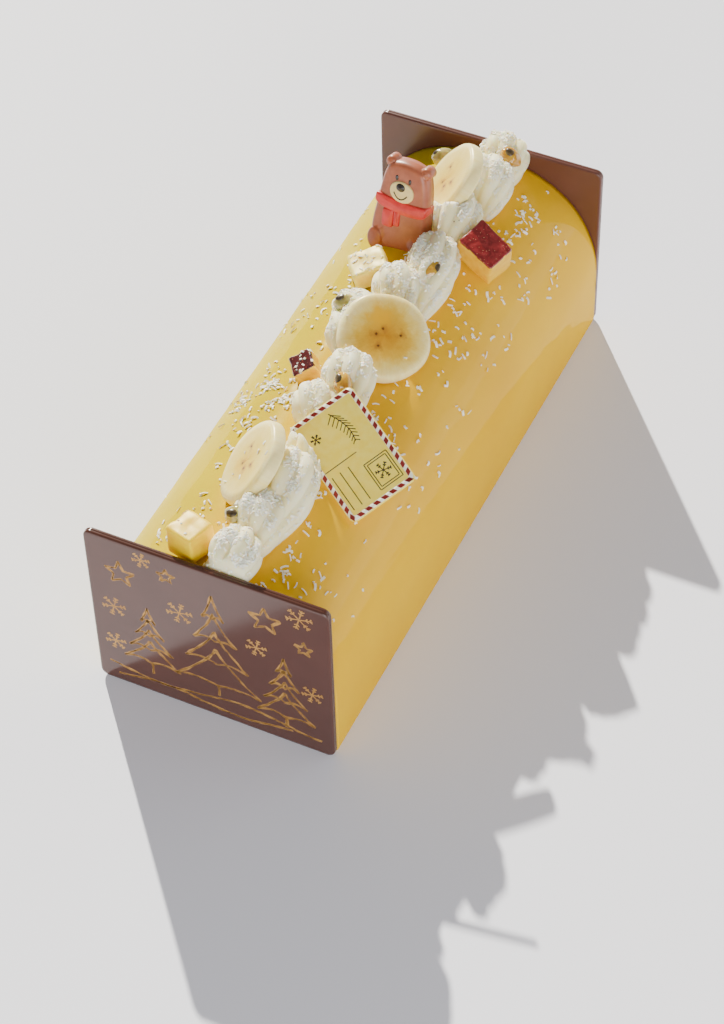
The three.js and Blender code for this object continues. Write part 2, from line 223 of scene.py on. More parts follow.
def grain(tree, place, scale, detail=3, roughness=0.5, distortion=0.0):
    made = add(tree, "ShaderNodeTexNoise", None, Vector=place, Scale=scale, Detail=detail,
               Roughness=roughness, Distortion=distortion)
    return made.outputs["Fac"]


def shades(tree, share, stops):
    made = add(tree, "ShaderNodeValToRGB", None, Fac=share)
    ramp = made.color_ramp
    while len(ramp.elements) < len(stops):
        ramp.elements.new(0.5)
    for element, (position, colour) in zip(ramp.elements, stops):
        element.position = position
        element.color = (*colour, 1)
    return made.outputs["Color"]


def blend_colours(tree, share, first, second, how="MIX"):
    made = add(tree, "ShaderNodeMix", {"data_type": "RGBA", "blend_type": how}, _0=share)
    for plug, value in ((made.inputs[6], first), (made.inputs[7], second)):
        if isinstance(value, bpy.types.NodeSocket):
            tree.links.new(value, plug)
        else:
            plug.default_value = (*value, 1)
    return made.outputs[2]


def roughen(tree, shader, height, distance, strength=1.0):
    bump = add(tree, "ShaderNodeBump", None, Height=height, Distance=distance, Strength=strength)
    feed(tree, shader, Normal=bump.outputs["Normal"])


# %% [markdown]
# Every piece is a plain mesh that lies in place already, with its object at the origin. The next helpers
# turn points and faces into a mesh, join rings of points into a skin, and hand a finished mesh to the cake.

# %% Meshes and pieces
def mesh_of(name, points, faces, edges=()):
    mesh = bpy.data.meshes.new(name)
    mesh.from_pydata([tuple(p) for p in points], edges, faces)
    return mesh


def mesh_from(work, name):
    mesh = bpy.data.meshes.new(name)
    work.to_mesh(mesh)
    work.free()
    return mesh


def circle(count):
    """Even steps round a circle, each as its cosine and its sine."""
    turns = [2 * math.pi * k / count for k in range(count)]
    return [(math.cos(turn), math.sin(turn)) for turn in turns]


def skin_of(name, rings, first=None, last=None):
    count = len(rings[0])
    points = [p for ring in rings for p in ring]
    faces = []
    for r in range(len(rings) - 1):
        for i in range(count):
            j = (i + 1) % count
            a, b = r * count, (r + 1) * count
            faces.append((a + i, a + j, b + j, b + i))
    for tip, start, order in ((first, 0, 1), (last, (len(rings) - 1) * count, -1)):
        if tip is None:
            continue
        points.append(tip)
        for i in range(count):
            j = (i + 1) % count
            faces.append((len(points) - 1, start + j, start + i)[::order])
    return mesh_of(name, points, faces)


def faces_outward(mesh):
    work = bmesh.new()
    work.from_mesh(mesh)
    bmesh.ops.remove_doubles(work, verts=work.verts, dist=1e-6)
    bmesh.ops.recalc_face_normals(work, faces=work.faces)
    work.to_mesh(mesh)
    work.free()
    return mesh


def helper(name, mesh):
    made = bpy.data.objects.new(name, mesh)
    bpy.context.scene.collection.objects.link(made)
    return made


def finished(source, name):
    """The mesh that an object shows with its modifiers, as plain data. The object is then removed."""
    shown = source.evaluated_get(bpy.context.evaluated_depsgraph_get())
    mesh = bpy.data.meshes.new_from_object(shown)
    mesh.name = name
    bpy.data.objects.remove(source)
    return mesh


def piece(name, mesh, material, slot, *nodes, smooth=True):
    made = helper(name, mesh)
    if material is not None:
        for each in material if isinstance(material, (list, tuple)) else [material]:
            mesh.materials.append(each)
    mesh.polygons.foreach_set("use_smooth", [smooth] * len(mesh.polygons))
    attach(made, "root")
    if nodes:
        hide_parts(*nodes)
    print(name, len(mesh.polygons), "faces")
    return made


def joined(name, meshes):
    work = bmesh.new()
    for mesh in meshes:
        work.from_mesh(mesh)
    return mesh_from(work, name)


def pose(centre, facing, along):
    """The place of a piece, from its centre in mm, the way its top faces and the way its long side runs."""
    z = Vector(facing).normalized()
    x = Vector(along)
    x = (x - z * x.dot(z)).normalized()
    turned = Matrix((x, z.cross(x), z)).transposed().to_4x4()
    return Matrix.Translation(Vector(centre) * MM) @ turned


# %% [markdown]
# A Geometry Nodes tree grows what repeats. This helper gives a tree its named inputs, and the next one
# puts a tree on a mesh, sets each input by its identifier, and keeps only the plain result.

# %% Geometry trees
def start_tree(name, inputs):
    tree = bpy.data.node_groups.new(name, "GeometryNodeTree")
    tree.interface.new_socket("Geometry", in_out="INPUT", socket_type="NodeSocketGeometry")
    for label, kind in inputs.items():
        tree.interface.new_socket(label, in_out="INPUT", socket_type="NodeSocket" + kind)
    tree.interface.new_socket("Geometry", in_out="OUTPUT", socket_type="NodeSocketGeometry")
    return tree, tree.nodes.new("NodeGroupInput").outputs


def end_tree(tree, geometry, material):
    real = add(tree, "GeometryNodeRealizeInstances", None, Geometry=geometry)
    painted = add(tree, "GeometryNodeSetMaterial", None, Geometry=real.outputs[0], Material=material)
    add(tree, "NodeGroupOutput", None, Geometry=painted.outputs[0])


def grown(name, source, tree, values):
    modifier = source.modifiers.new(tree.name, "NODES")
    modifier.node_group = tree
    for socket in tree.interface.items_tree:
        if socket.in_out == "INPUT" and socket.name in values:
            modifier[socket.identifier] = values[socket.name]
    return finished(source, name)


# %% [markdown]
# ## The table
# A plain sheet of pale paper. It's staging and not part of the cake, so it rides on nothing.

# %% Floor
FLOOR_HALF = 4.0
FLOOR_Z = -0.1 * MM
paper = paint("pale_paper", Base_Color=(0.88, 0.88, 0.96, 1), Roughness=0.6)[0]
corners = [(x * FLOOR_HALF, y * FLOOR_HALF, FLOOR_Z) for x, y in ((-1, -1), (1, -1), (1, 1), (-1, 1))]
floor = helper("floor", mesh_of("floor", corners, [(0, 1, 2, 3)]))
floor.data.materials.append(paper)
floor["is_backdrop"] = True

# %% [markdown]
# ## The glazed log
# The log stands in an arched mould, so its section is straight below and a full arch above. A
# superellipse gives that arch with one number for its fullness. A mirror glaze is poured on warm and sets
# a little wavy, which shows only in what it mirrors, so the waves are a fraction of a millimetre.

# %% The shape of the log
HALF_W = 46
SIDE_H = 24
ARCH_H = 47
ARCH_POWER = 2.25
FOOT_R = 1.5
ARCH_STEPS = 110
SIDE_STEPS = 14
LENGTH_STEPS = 150
HALF_L = 117.28
WAVE = 0.22
WAVE_LENGTH = 16.0
SMALL_WAVE = 0.3
SMALL_WAVE_LENGTH = 0.35
WAVES_FROM_Z = 3


def arch_height(x):
    share = min(1, abs(x) / HALF_W)
    return SIDE_H + ARCH_H * (1 - share ** ARCH_POWER) ** (1 / ARCH_POWER)


def arch_normal(x):
    across = math.copysign((min(abs(x), HALF_W) / HALF_W) ** (ARCH_POWER - 1) / HALF_W, x)
    rise = ((arch_height(x) - SIDE_H) / ARCH_H) ** (ARCH_POWER - 1) / ARCH_H
    return Vector((across, 0, rise)).normalized()


def log_section():
    """The points of the section and their outward directions, from the right foot over the top."""
    right = [(HALF_W - FOOT_R, 0, Vector((0, 0, -1))), (HALF_W, FOOT_R, Vector((1, 0, -0.4)).normalized())]
    for i in range(1, SIDE_STEPS):
        right.append((HALF_W, FOOT_R + (SIDE_H - FOOT_R) * i / SIDE_STEPS, Vector((1, 0, 0))))
    arch = []
    for i in range(ARCH_STEPS + 1):
        turn = math.pi * i / ARCH_STEPS
        x = HALF_W * math.copysign(abs(math.cos(turn)) ** (2 / ARCH_POWER), math.cos(turn))
        z = SIDE_H + ARCH_H * math.sin(turn) ** (2 / ARCH_POWER) if i < ARCH_STEPS else SIDE_H
        arch.append((x, z, arch_normal(x)))
    left = [(-x, z, Vector((-outward.x, 0, outward.z))) for x, z, outward in reversed(right)]
    return right + arch + left


def wave_at(spot):
    small = SMALL_WAVE * WAVE * noise.noise(spot / (SMALL_WAVE_LENGTH * WAVE_LENGTH))
    return WAVE * noise.noise(spot / WAVE_LENGTH) + small


def log_mesh():
    section = log_section()
    rings = []
    for step in range(LENGTH_STEPS + 1):
        y = -HALF_L + 2 * HALF_L * step / LENGTH_STEPS
        ring = []
        for x, z, outward in section:
            spot = Vector((x, y, z))
            ring.append((spot + outward * (wave_at(spot) if z > WAVES_FROM_Z else 0)) * MM)
        rings.append(ring)
    ends = [Vector((0, y * HALF_L * MM, SIDE_H * MM)) for y in (-1, 1)]
    return faces_outward(skin_of("log_glaze", rings, *ends))


# %% [markdown]
# The glaze is glucose, fruit and gelatine: a deep, warm yellow with a wet surface. The shader is a
# coloured body under a glossy coat. The coat counts for a fifth only, so the white floor doesn't wash the
# colour out at a glancing angle. The colour drifts across the log from lemon on the lit flank to amber on
# the shaded one: this is painted light and shade, not a change in the glaze itself. Slow noise shifts it
# a little. Fine noise and a few pinholes dimple the surface.

# %% Mirror glaze
# Across the log, the painted lit-flank colour ends at the first x and the painted shaded-flank colour starts
# at the second.
LIT_FLANK_TO_X = -24 * MM
SHADED_FLANK_FROM_X = 12 * MM

glaze, tree, shader = paint("mirror_glaze", Roughness=0.5, Specular_IOR_Level=0.0, Coat_Weight=0.2,
                            Coat_IOR=1.85, Coat_Roughness=0.07, Subsurface_Weight=0.12,
                            Subsurface_Scale=0.004, Subsurface_Radius=(1.0, 0.55, 0.08))
place = place_of(tree)
slow = grain(tree, place, 22, 4)
# Painted light: the lemon tones stand for the lit flank and the amber tones for the shaded flank.
shaded_flank_amber = shades(tree, slow, [(0.3, (0.79, 0.43, 0.0)), (0.7, (0.86, 0.50, 0.0))])
lit_flank_lemon = shades(tree, slow, [(0.3, (0.54, 0.40, 0.0)), (0.7, (0.62, 0.46, 0.0))])
across = add(tree, "ShaderNodeSeparateXYZ", None, Vector=place).outputs["X"]
drift = add(tree, "ShaderNodeMapRange", {"interpolation_type": "SMOOTHSTEP"}, Value=across,
            From_Min=LIT_FLANK_TO_X, From_Max=SHADED_FLANK_FROM_X)
feed(tree, shader, Base_Color=blend_colours(tree, drift.outputs[0], lit_flank_lemon, shaded_flank_amber))
fine = sums(tree, "MULTIPLY", grain(tree, place, 620, 2), 0.35)
dimples = sums(tree, "ADD", grain(tree, place, 150, 3), fine)
bubbles = add(tree, "ShaderNodeTexVoronoi", None, Vector=place, Scale=90).outputs["Distance"]
pits = shades(tree, bubbles, [(0.02, BLACK), (0.06, WHITE)])
roughen(tree, shader, sums(tree, "MULTIPLY_ADD", pits, 0.8, dimples), 0.22 * MM, 0.55)
piece("log_glaze", log_mesh(), glaze, "glaze", "log")

# %% [markdown]
# ## The end plates
# Each plate is cast chocolate with a narrow chamfer all round, and a fine groove runs along the middle of
# its edge. A loft does this: the same rounded outline repeats through the thickness, a little larger or
# smaller each time.

# %% Plate shape
PLATE_W = 92
PLATE_H = 76.5
PLATE_T = 2.7
PLATE_CORNER_R = 3
PLATE_OUTER_Y = 120
CORNER_STEPS = 8
PLATE_PROFILE = [(0.0, 1.3), (0.0, 0.55), (0.16, 0.22), (0.5, 0.04), (1.1, 0.0), (1.28, 0.05), (1.38, 0.26),
                 (1.48, 0.05), (1.65, 0.0), (2.2, 0.04), (2.54, 0.22), (2.7, 0.55), (2.7, 1.3)]


def rounded_outline(width, height, radius, inset=0.0):
    points = []
    for k, (sx, sy) in enumerate(((1, 1), (-1, 1), (-1, -1), (1, -1))):
        for i in range(CORNER_STEPS + 1):
            turn = math.pi / 2 * (k + i / CORNER_STEPS)
            x = sx * (width / 2 - radius) + (radius - inset) * math.cos(turn)
            y = sy * (height / 2 - radius) + (radius - inset) * math.sin(turn)
            points.append(Vector((x, y, 0)))
    return points


def plate_mesh(name, side):
    rings = []
    for depth, inset in PLATE_PROFILE:
        y = side * (PLATE_OUTER_Y - PLATE_T + depth)
        outline = rounded_outline(PLATE_W, PLATE_H, PLATE_CORNER_R, inset)
        rings.append([Vector((p.x, y, p.y + PLATE_H / 2)) * MM for p in outline])
    ends = [Vector((0, side * y * MM, PLATE_H / 2 * MM)) for y in (PLATE_OUTER_Y - PLATE_T, PLATE_OUTER_Y)]
    return faces_outward(skin_of(name, rings, *ends))


# %% [markdown]
# Milk chocolate that set against a smooth mould is satin: it mirrors the room softly. Faint cloudiness in
# the roughness keeps the large flat face from looking like plastic. The back plate is duller, and it is
# painted a little paler: painted light, for the glow that its shaded inner face takes from the glaze.

# %% Milk chocolate
def chocolate(name, dark, light, roughness):
    made, tree, shader = paint(name, Specular_IOR_Level=0.55)
    place = place_of(tree)
    tone = shades(tree, grain(tree, place, 34, 5, 0.6), [(0.3, dark), (0.72, light)])
    haze = add(tree, "ShaderNodeMapRange", None, Value=grain(tree, place, 60, 4), To_Min=roughness - 0.05,
               To_Max=roughness + 0.07)
    feed(tree, shader, Base_Color=tone, Roughness=haze.outputs[0])
    roughen(tree, shader, grain(tree, place, 420, 3), 0.05 * MM, 0.4)
    return made


front_chocolate = chocolate("front_plate_chocolate", (0.066, 0.023, 0.015), (0.086, 0.031, 0.021), 0.15)
# The back plate's paler tones are painted light on its shaded inner face, not a different chocolate.
back_chocolate_painted_paler = chocolate("back_plate_chocolate", (0.096, 0.034, 0.024), (0.122, 0.045, 0.033), 0.22)
for side, where, finish in ((-1, "front", front_chocolate), (1, "back", back_chocolate_painted_paler)):
    node = "end_plate_" + where
    piece("plate_" + where, plate_mesh(node, side), finish, "plate_chocolate", node)

# %% [markdown]
# ## The piped cream
# A star nozzle leaves a ridged shell: it swells at the head and is drawn out to a tail. Each shell is a
# loft of scalloped rings along a bowed line. The shells overlap, so a boolean union makes one skin of
# them. Then the space above each slice is cut away, where the slice was pressed in.

# %% Shells
SHELL_RIDGES = 8
RIDGE_DEPTH = 0.10
SHELL_RINGS = 30
SHELL_SIDES = 96
SHELL_HEAD = 0.34
SHELL_TAIL_SIZE = 0.2
SHELL_SINK = 0.55
SHELL_BOW = 2.5
SHELL_TWIST = 1.2
SHELL_TAIL_FALL = 1.5
RING_CROWDING = 1.25
FLUTE_ROUNDING = 0.7
SHELL_WANDER = 0.025
# Each row has the place of the tail, the place of the head, the radius and how far the head is lifted.
SHELLS = [
    ((6.5, -126), (3.5, -101), 8.5, 3), ((9.5, -106), (2, -83), 9, 3), ((12, -97), (4.5, -64), 10, 5),
    ((11, -68), (2, -47), 8, 0), ((9, -50), (-6, -30), 8.5, 0), ((10, -37), (1, -13), 9, 5),
    ((4, -16), (-10, 10), 9, 0), ((13, -9), (-15, 18), 9, 0), ((9, 13), (-4.5, 36), 9, 1),
    ((12.5, 19), (4, 58), 9, 3.5), ((10, 52), (1, 80), 9.5, 4), ((12.5, 81), (3.5, 102), 9.5, 3),
    ((11.5, 97), (3, 120), 9, 1),
]


def shell_size(t, radius):
    if t < SHELL_HEAD:
        return radius * math.sqrt(1 - (1 - t / SHELL_HEAD) ** 2)
    fall = (t - SHELL_HEAD) / (1 - SHELL_HEAD)
    return radius * (1 - (1 - SHELL_TAIL_SIZE) * fall ** SHELL_TAIL_FALL)


def shell_mesh(index, tail, head, radius, lift):
    start, end = Vector(head), Vector(tail)
    run = (end - start).normalized()
    side = Vector((-run.y, run.x))

    def spine(t):
        spot = start + (end - start) * t + side * SHELL_BOW * math.sin(math.pi * t)
        height = arch_height(spot.x) + shell_size(max(0, min(1, t)), radius) * SHELL_SINK + lift * (1 - t)
        return Vector((spot.x, spot.y, height))

    rings = []
    for i in range(1, SHELL_RINGS):
        t = (i / SHELL_RINGS) ** RING_CROWDING
        tangent = (spine(t + 0.02) - spine(t - 0.02)).normalized()
        across = tangent.cross(Vector((0, 0, 1))).normalized()
        rise = across.cross(tangent)
        ring = []
        for k in range(SHELL_SIDES):
            turn = -2 * math.pi * k / SHELL_SIDES
            flute = abs(math.cos(SHELL_RIDGES * (turn + SHELL_TWIST * t + index) / 2)) ** FLUTE_ROUNDING
            uneven = noise.noise(Vector((2 * math.cos(turn), 2 * math.sin(turn), 3 * t + 9 * index)))
            r = shell_size(t, radius) * (1 - RIDGE_DEPTH + 2 * RIDGE_DEPTH * flute + SHELL_WANDER * uneven)
            ring.append((spine(t) + across * r * math.cos(turn) + rise * r * math.sin(turn)) * MM)
        rings.append(ring)
    return skin_of("shell", rings, spine(0) * MM, spine(1) * MM)


# %% The bed of cream under the shells
BED_ACROSS = 4.5
BED_HALF_W = 7.5
BED_HALF_L = 116.8
BED_H = 7
BED_STEPS = 60
BED_SIDES = 24
BED_RIPPLE = 0.08
BED_RIPPLE_LENGTH = 9


def bed_mesh():
    foot = arch_height(BED_ACROSS)
    rings = []
    for step in range(BED_STEPS + 1):
        y = -BED_HALF_L + 2 * BED_HALF_L * step / BED_STEPS
        ring = []
        for c, s in circle(BED_SIDES):
            ripple = 1 + BED_RIPPLE * noise.noise(Vector((2 * c, 2 * s, y / BED_RIPPLE_LENGTH)))
            ring.append(Vector((BED_ACROSS + BED_HALF_W * ripple * c, y, foot + BED_H * ripple * s)) * MM)
        rings.append(ring)
    ends = [Vector((BED_ACROSS, y, foot)) * MM for y in (-BED_HALF_L, BED_HALF_L)]
    return skin_of("bed", rings, *ends)


# %% Where the flat pieces lie
PRESS_RISE = 24
PRESS_TAPER = 0.05
TRIM_Y, TRIM_Z = 117.1, 80
TRIM_W, TRIM_L, TRIM_H = 200, 40, 100
# Each piece has its centre in mm, the way its top faces and the way its long side runs.
POSES = {
    "banana_front": ((-3.6, -75.7, 84.2), (-0.70, -0.30, 0.65), (0.3, 0.9, 0.5)),
    "banana_middle": ((9.5, 1.5, 80.2), (0.35, -0.35, 0.87), (1, 0, 0)),
    "banana_back": ((-0.4, 82.6, 84.2), (-0.70, -0.30, 0.65), (0.3, 0.9, 0.5)),
    "card": ((21.9, -51.4, 76.2), (0.07, -0.52, 0.85), (0.82, -0.45, -0.35)),
    "fruit_cube_front": ((-10.5, -108.2, 77.0), (-0.1, 0.04, 0.99), (0.3, 0.95, 0)),
    "fruit_cube_bear": ((-13.0, 37.0, 75.2), (-0.22, -0.12, 0.96), (0.8, 0.6, 0)),
    "red_cube_left": ((-11.6, -19.2, 75.4), (-0.35, -0.25, 0.9), (0.8, 0.6, 0)),
    "red_cube_right": ((22.4, 61.0, 76.0), (0.22, -0.28, 0.93), (0.92, -0.3, -0.3)),
    "seed_front": ((0.1, -95.2, 79.4), (0, -0.6, 0.8), (1, 0.2, 0)),
    "seed_card": ((8.3, -29.3, 84.6), (-0.4, -0.6, 0.7), (0.3, -1, 0)),
    "seed_left": ((-9.6, 9.9, 82.6), (-0.2, 0, 1), (0.9, 0.6, 0)),
    "seed_middle": ((11.9, 37.6, 82.0), (0.7, -0.3, 0.6), (0.3, -1, 0)),
    "seed_left_back": ((-14.5, 106, 73.5), (-0.3, 0, 1), (0.8, 0.6, 0)),
    "seed_back": ((13.2, 106.6, 82.2), (0.4, -0.3, 0.9), (1, -0.2, 0)),
}
PLACES = {name: pose(*values) for name, values in POSES.items()}


def room_above(node):
    """The node's own shape, with its upper face pulled straight up."""
    work = bmesh.new()
    work.from_mesh(frame["nodes"][node].data)
    bmesh.ops.remove_doubles(work, verts=work.verts, dist=1e-5)
    centre, facing = PLACES[node].translation, PLACES[node].col[2].xyz
    for vertex in work.verts:
        if (vertex.co - centre).dot(facing) > 0:
            inward = centre - vertex.co
            inward -= facing * inward.dot(facing)
            vertex.co += Vector((0, 0, PRESS_RISE * MM)) + PRESS_TAPER * inward
    bmesh.ops.recalc_face_normals(work, faces=work.faces)
    return mesh_from(work, node + "_room")


def end_block(side):
    """A block beyond an end plate, which trims the cream flat against it."""
    work = bmesh.new()
    bmesh.ops.create_cube(work, size=1)
    for vertex in work.verts:
        x, y, z = vertex.co
        vertex.co = Vector((x * TRIM_W, side * (TRIM_Y + TRIM_L / 2) + y * TRIM_L, TRIM_Z + z * TRIM_H)) * MM
    return mesh_from(work, "end_block")


# %% Join the shells and cut the rooms
CREAM_CRUMB = 0.05
CREAM_CRUMB_LENGTH = 2.6


def solved(name, body, others, operation):
    """One solid less, or with, the others."""
    base = helper(name, faces_outward(body))
    tools = [helper("tool", faces_outward(mesh)) for mesh in others]
    for tool in tools:
        step = base.modifiers.new("step", "BOOLEAN")
        step.operation = operation
        step.object = tool
        step.solver = "MANIFOLD"
    mesh = finished(base, name)
    for tool in tools:
        bpy.data.objects.remove(tool)
    mesh.materials.clear()
    return mesh


def cream_mesh():
    shells = [shell_mesh(i, *row) for i, row in enumerate(SHELLS)]
    heap = solved("cream", bed_mesh(), shells, "UNION")
    normals = [vertex.normal.copy() for vertex in heap.vertices]
    for vertex, normal in zip(heap.vertices, normals):
        spot = vertex.co / (CREAM_CRUMB_LENGTH * MM)
        vertex.co += normal * MM * CREAM_CRUMB * (noise.noise(spot) + 0.5 * noise.noise(spot * 2.3))
    rooms = [room_above(node) for node in ("banana_front", "banana_middle", "banana_back", "card")]
    return solved("cream", heap, rooms + [end_block(-1), end_block(1)], "DIFFERENCE")


# %% [markdown]
# Whipped cream is white with a breath of yellow, soft to the light and dull. Light goes a little way in,
# so it has some subsurface scattering. A few black vanilla specks show in it.

# %% Whipped cream
whipped, tree, shader = paint("whipped_cream", Roughness=0.5, Specular_IOR_Level=0.2, Subsurface_Weight=0.7,
                              Subsurface_Scale=0.007, Subsurface_Radius=(1.0, 0.8, 0.5))
place = place_of(tree)
tone = shades(tree, grain(tree, place, 90, 3), [(0.3, (0.98, 0.85, 0.48)), (0.7, (1.0, 0.90, 0.60))])
speck = add(tree, "ShaderNodeTexVoronoi", None, Vector=place, Scale=210)
dark = shades(tree, speck.outputs["Distance"], [(0.05, WHITE), (0.075, BLACK)])
few = shades(tree, grain(tree, place, 120, 1), [(0.60, BLACK), (0.64, WHITE)])
spots = sums(tree, "MULTIPLY", dark, few)
feed(tree, shader, Base_Color=blend_colours(tree, spots, tone, (0.08, 0.06, 0.04)))
roughen(tree, shader, grain(tree, place, 700, 4, 0.6), 0.14 * MM, 0.5)
cream_piece = piece("cream_shells", cream_mesh(), whipped, "cream", "cream")

# %% [markdown]
# ## Banana slices
# A slice is round with five faint corners, flat on both sides and softly rounded at the rim. It is one
# profile carried round the middle. A UV map keeps each point's place on the slice, so that the flesh, its
# three lobes and its seeds are painted about the middle of each slice, however the slice leans.

# %% The shape of a slice
BANANA_SIDES = 96
BANANA_HALF_T = 2.5
BANANA_DISH = 0.12
BANANA_CORNERS = 0.015
BANANA_OVAL = 0.02
BANANA_UNEVEN = 0.004
BANANA_FACE = [(0.05, 0.10), (0.12, 0.06), (0.2, 0.10), (0.3, 0.02), (0.45, 0.0), (0.6, 0.03), (0.75, 0.0),
               (0.87, -0.02)]
BANANA_RIM = [(2.0, 2.46), (1.35, 2.3), (0.85, 1.95), (0.5, 1.4), (0.25, 0.7), (0.08, 0.0), (0.0, -0.7),
              (0.0, -1.5), (0.06, -1.9), (0.22, -2.22), (0.5, -2.42), (0.9, -2.5)]


def banana_mesh(name, radius):
    rings = []
    rows = [(share * radius, BANANA_HALF_T - sink) for share, sink in BANANA_FACE]
    rows += [(radius - inset, height) for inset, height in BANANA_RIM]
    for reach, height in rows:
        ring = []
        for k, (c, s) in enumerate(circle(BANANA_SIDES)):
            turn = 2 * math.pi * k / BANANA_SIDES
            corners = 1 + BANANA_CORNERS * math.cos(5 * turn) + BANANA_OVAL * math.cos(2 * turn)
            r = reach * corners * (1 + BANANA_UNEVEN * noise.noise(Vector((4 * c, 4 * s, height)))) * MM
            ring.append(Vector((r * c, r * s, height * MM)))
        rings.append(ring)
    ends = [Vector((0, 0, (BANANA_HALF_T - BANANA_DISH) * MM)), Vector((0, 0, -BANANA_HALF_T * MM))]
    mesh = faces_outward(skin_of(name, rings, *ends))
    layer = mesh.uv_layers.new(name="slice")
    for loop in mesh.loops:
        layer.data[loop.index].uv = mesh.vertices[loop.vertex_index].co.xy / (radius * MM)
    mesh.transform(PLACES[name])
    return mesh


# %% Banana flesh
SEED_SPOTS = [(0.34, 24), (0.15, 130), (0.19, 196), (0.28, 262)]


def banana_flesh(name, stops, warm_patch, warm_patch_at):
    made, tree, shader = paint(name, Roughness=0.34, Subsurface_Weight=0.25, Subsurface_Scale=0.003,
                               Subsurface_Radius=(1.0, 0.7, 0.3), Specular_Tint=(1.0, 0.85, 0.5, 1.0))
    spot = add(tree, "ShaderNodeUVMap", {"uv_map": "slice"}).outputs["UV"]
    parts = add(tree, "ShaderNodeSeparateXYZ", None, Vector=spot)
    turn = sums(tree, "ARCTAN2", parts.outputs[1], parts.outputs[0])
    reach = add(tree, "ShaderNodeVectorMath", {"operation": "LENGTH"}, _0=spot).outputs["Value"]
    lobes = sums(tree, "COSINE", sums(tree, "MULTIPLY_ADD", turn, 3.0, 0.7))
    wander = sums(tree, "MULTIPLY_ADD", grain(tree, spot, 4.5, 5, 0.6), 0.5, -0.25)
    bent = sums(tree, "ADD", sums(tree, "MULTIPLY_ADD", lobes, -0.055, reach), wander)
    flesh = shades(tree, bent, stops)
    rays = xyz(tree, sums(tree, "MULTIPLY", turn, 9.0), reach)
    streak = shades(tree, grain(tree, rays, 2.6, 3), [(0.35, (0.90, 0.88, 0.82)), (0.6, WHITE)])
    flesh = blend_colours(tree, 0.5, flesh, streak, "MULTIPLY")
    # Near warm_patch_at the flesh turns warmer. On the ripe middle slice this orange patch is painted bounce
    # light from the fruit cube beside it.
    off = add(tree, "ShaderNodeVectorMath", {"operation": "DISTANCE"}, _0=spot, _1=(*warm_patch_at, 0))
    near = shades(tree, sums(tree, "ADD", off.outputs["Value"], wander), [(0.12, WHITE), (0.34, BLACK)])
    flesh = blend_colours(tree, sums(tree, "MULTIPLY", near, 0.7), flesh, warm_patch)
    nearest = 1.0
    for reach_out, degrees in SEED_SPOTS:
        at = (reach_out * math.cos(math.radians(degrees)), reach_out * math.sin(math.radians(degrees)), 0)
        gap = add(tree, "ShaderNodeVectorMath", {"operation": "DISTANCE"}, _0=spot, _1=at).outputs["Value"]
        nearest = sums(tree, "MINIMUM", gap, nearest)
    stain = shades(tree, sums(tree, "ADD", nearest, wander), [(0.0, (0.7, 0.7, 0.7)), (0.13, BLACK)])
    flesh = blend_colours(tree, stain, flesh, (0.42, 0.17, 0.03))
    ragged = sums(tree, "MULTIPLY_ADD", grain(tree, spot, 40, 2), 0.05, nearest)
    seeds = shades(tree, ragged, [(0.04, WHITE), (0.065, BLACK)])
    feed(tree, shader, Base_Color=blend_colours(tree, seeds, flesh, (0.10, 0.035, 0.01)))
    roughen(tree, shader, sums(tree, "ADD", grain(tree, spot, 26, 4), lobes), 0.10 * MM, 0.35)
    return made


PALE_STOPS = [(0.0, (0.76, 0.49, 0.02)), (0.25, (0.84, 0.60, 0.06)), (0.5, (0.90, 0.68, 0.12)),
              (0.8, (0.94, 0.76, 0.22)), (1.0, (0.97, 0.84, 0.40))]
RIPE_STOPS = [(0.0, (0.58, 0.25, 0.01)), (0.3, (0.70, 0.36, 0.02)), (0.55, (0.82, 0.51, 0.05)),
              (0.75, (0.92, 0.70, 0.18)), (1.0, (0.97, 0.84, 0.42))]
pale_flesh = banana_flesh("banana_flesh_pale", PALE_STOPS, (0.80, 0.50, 0.02), (-0.2, 0.1))
# The ripe slice's orange patch is painted light: bounce from the fruit cube beside it.
ripe_flesh = banana_flesh("banana_flesh_ripe", RIPE_STOPS, (0.92, 0.48, 0.0), (-0.25, 0.34))
SLICES = (("banana_front", 15.8, pale_flesh), ("banana_middle", 16.6, ripe_flesh),
          ("banana_back", 15.8, pale_flesh))
for node, radius, flesh in SLICES:
    piece(node + "_slice", banana_mesh(node, radius), flesh, "banana", node)

# %% [markdown]
# ## Fruit cubes
# The cubes are cut by hand, so one end is a little narrower, the corners are soft and the faces are
# uneven. A cube is a fine grid wrapped on a rounded box. The red ones keep their skin on the upper face,
# as a second material.

# %% The shape of a cube
CUBE_CUTS = 15
CUBE_ROUNDING = 0.9
CUBE_SPREAD = 1.5
CUBE_NARROWING = (0.06, 0.08)
CUBE_LUMPS = ((0.5, 4.5), (0.12, 1.3))
SKIN_DEPTH = 0.75
SKIN_TURN = 0.35


def cube_mesh(name, size):
    work = bmesh.new()
    bmesh.ops.create_cube(work, size=2)
    bmesh.ops.subdivide_edges(work, edges=work.edges, cuts=CUBE_CUTS, use_grid_fill=True)
    half = Vector(size) / 2
    core = half - Vector((CUBE_ROUNDING,) * 3)
    seed = Vector((len(name), size[0], 0))
    for vertex in work.verts:
        even = [math.copysign(1 - (1 - abs(share)) ** CUBE_SPREAD, share) * side
                for share, side in zip(vertex.co, half)]
        inner = Vector([max(-c, min(c, p)) for c, p in zip(core, even)])
        spot = inner + (Vector(even) - inner).normalized() * CUBE_ROUNDING
        spot.y *= 1 - CUBE_NARROWING[0] * spot.x / size[0]
        spot.x *= 1 - CUBE_NARROWING[1] * spot.z / size[2]
        spot += spot.normalized() * sum(rise * noise.noise(spot / wide + seed) for rise, wide in CUBE_LUMPS)
        vertex.co = spot * MM
    mesh = mesh_from(work, name)
    for face in mesh.polygons:
        is_top = face.center.z > (half.z - SKIN_DEPTH) * MM and face.normal.z > SKIN_TURN
        face.material_index = int(is_top)
    mesh.transform(PLACES[name])
    return mesh


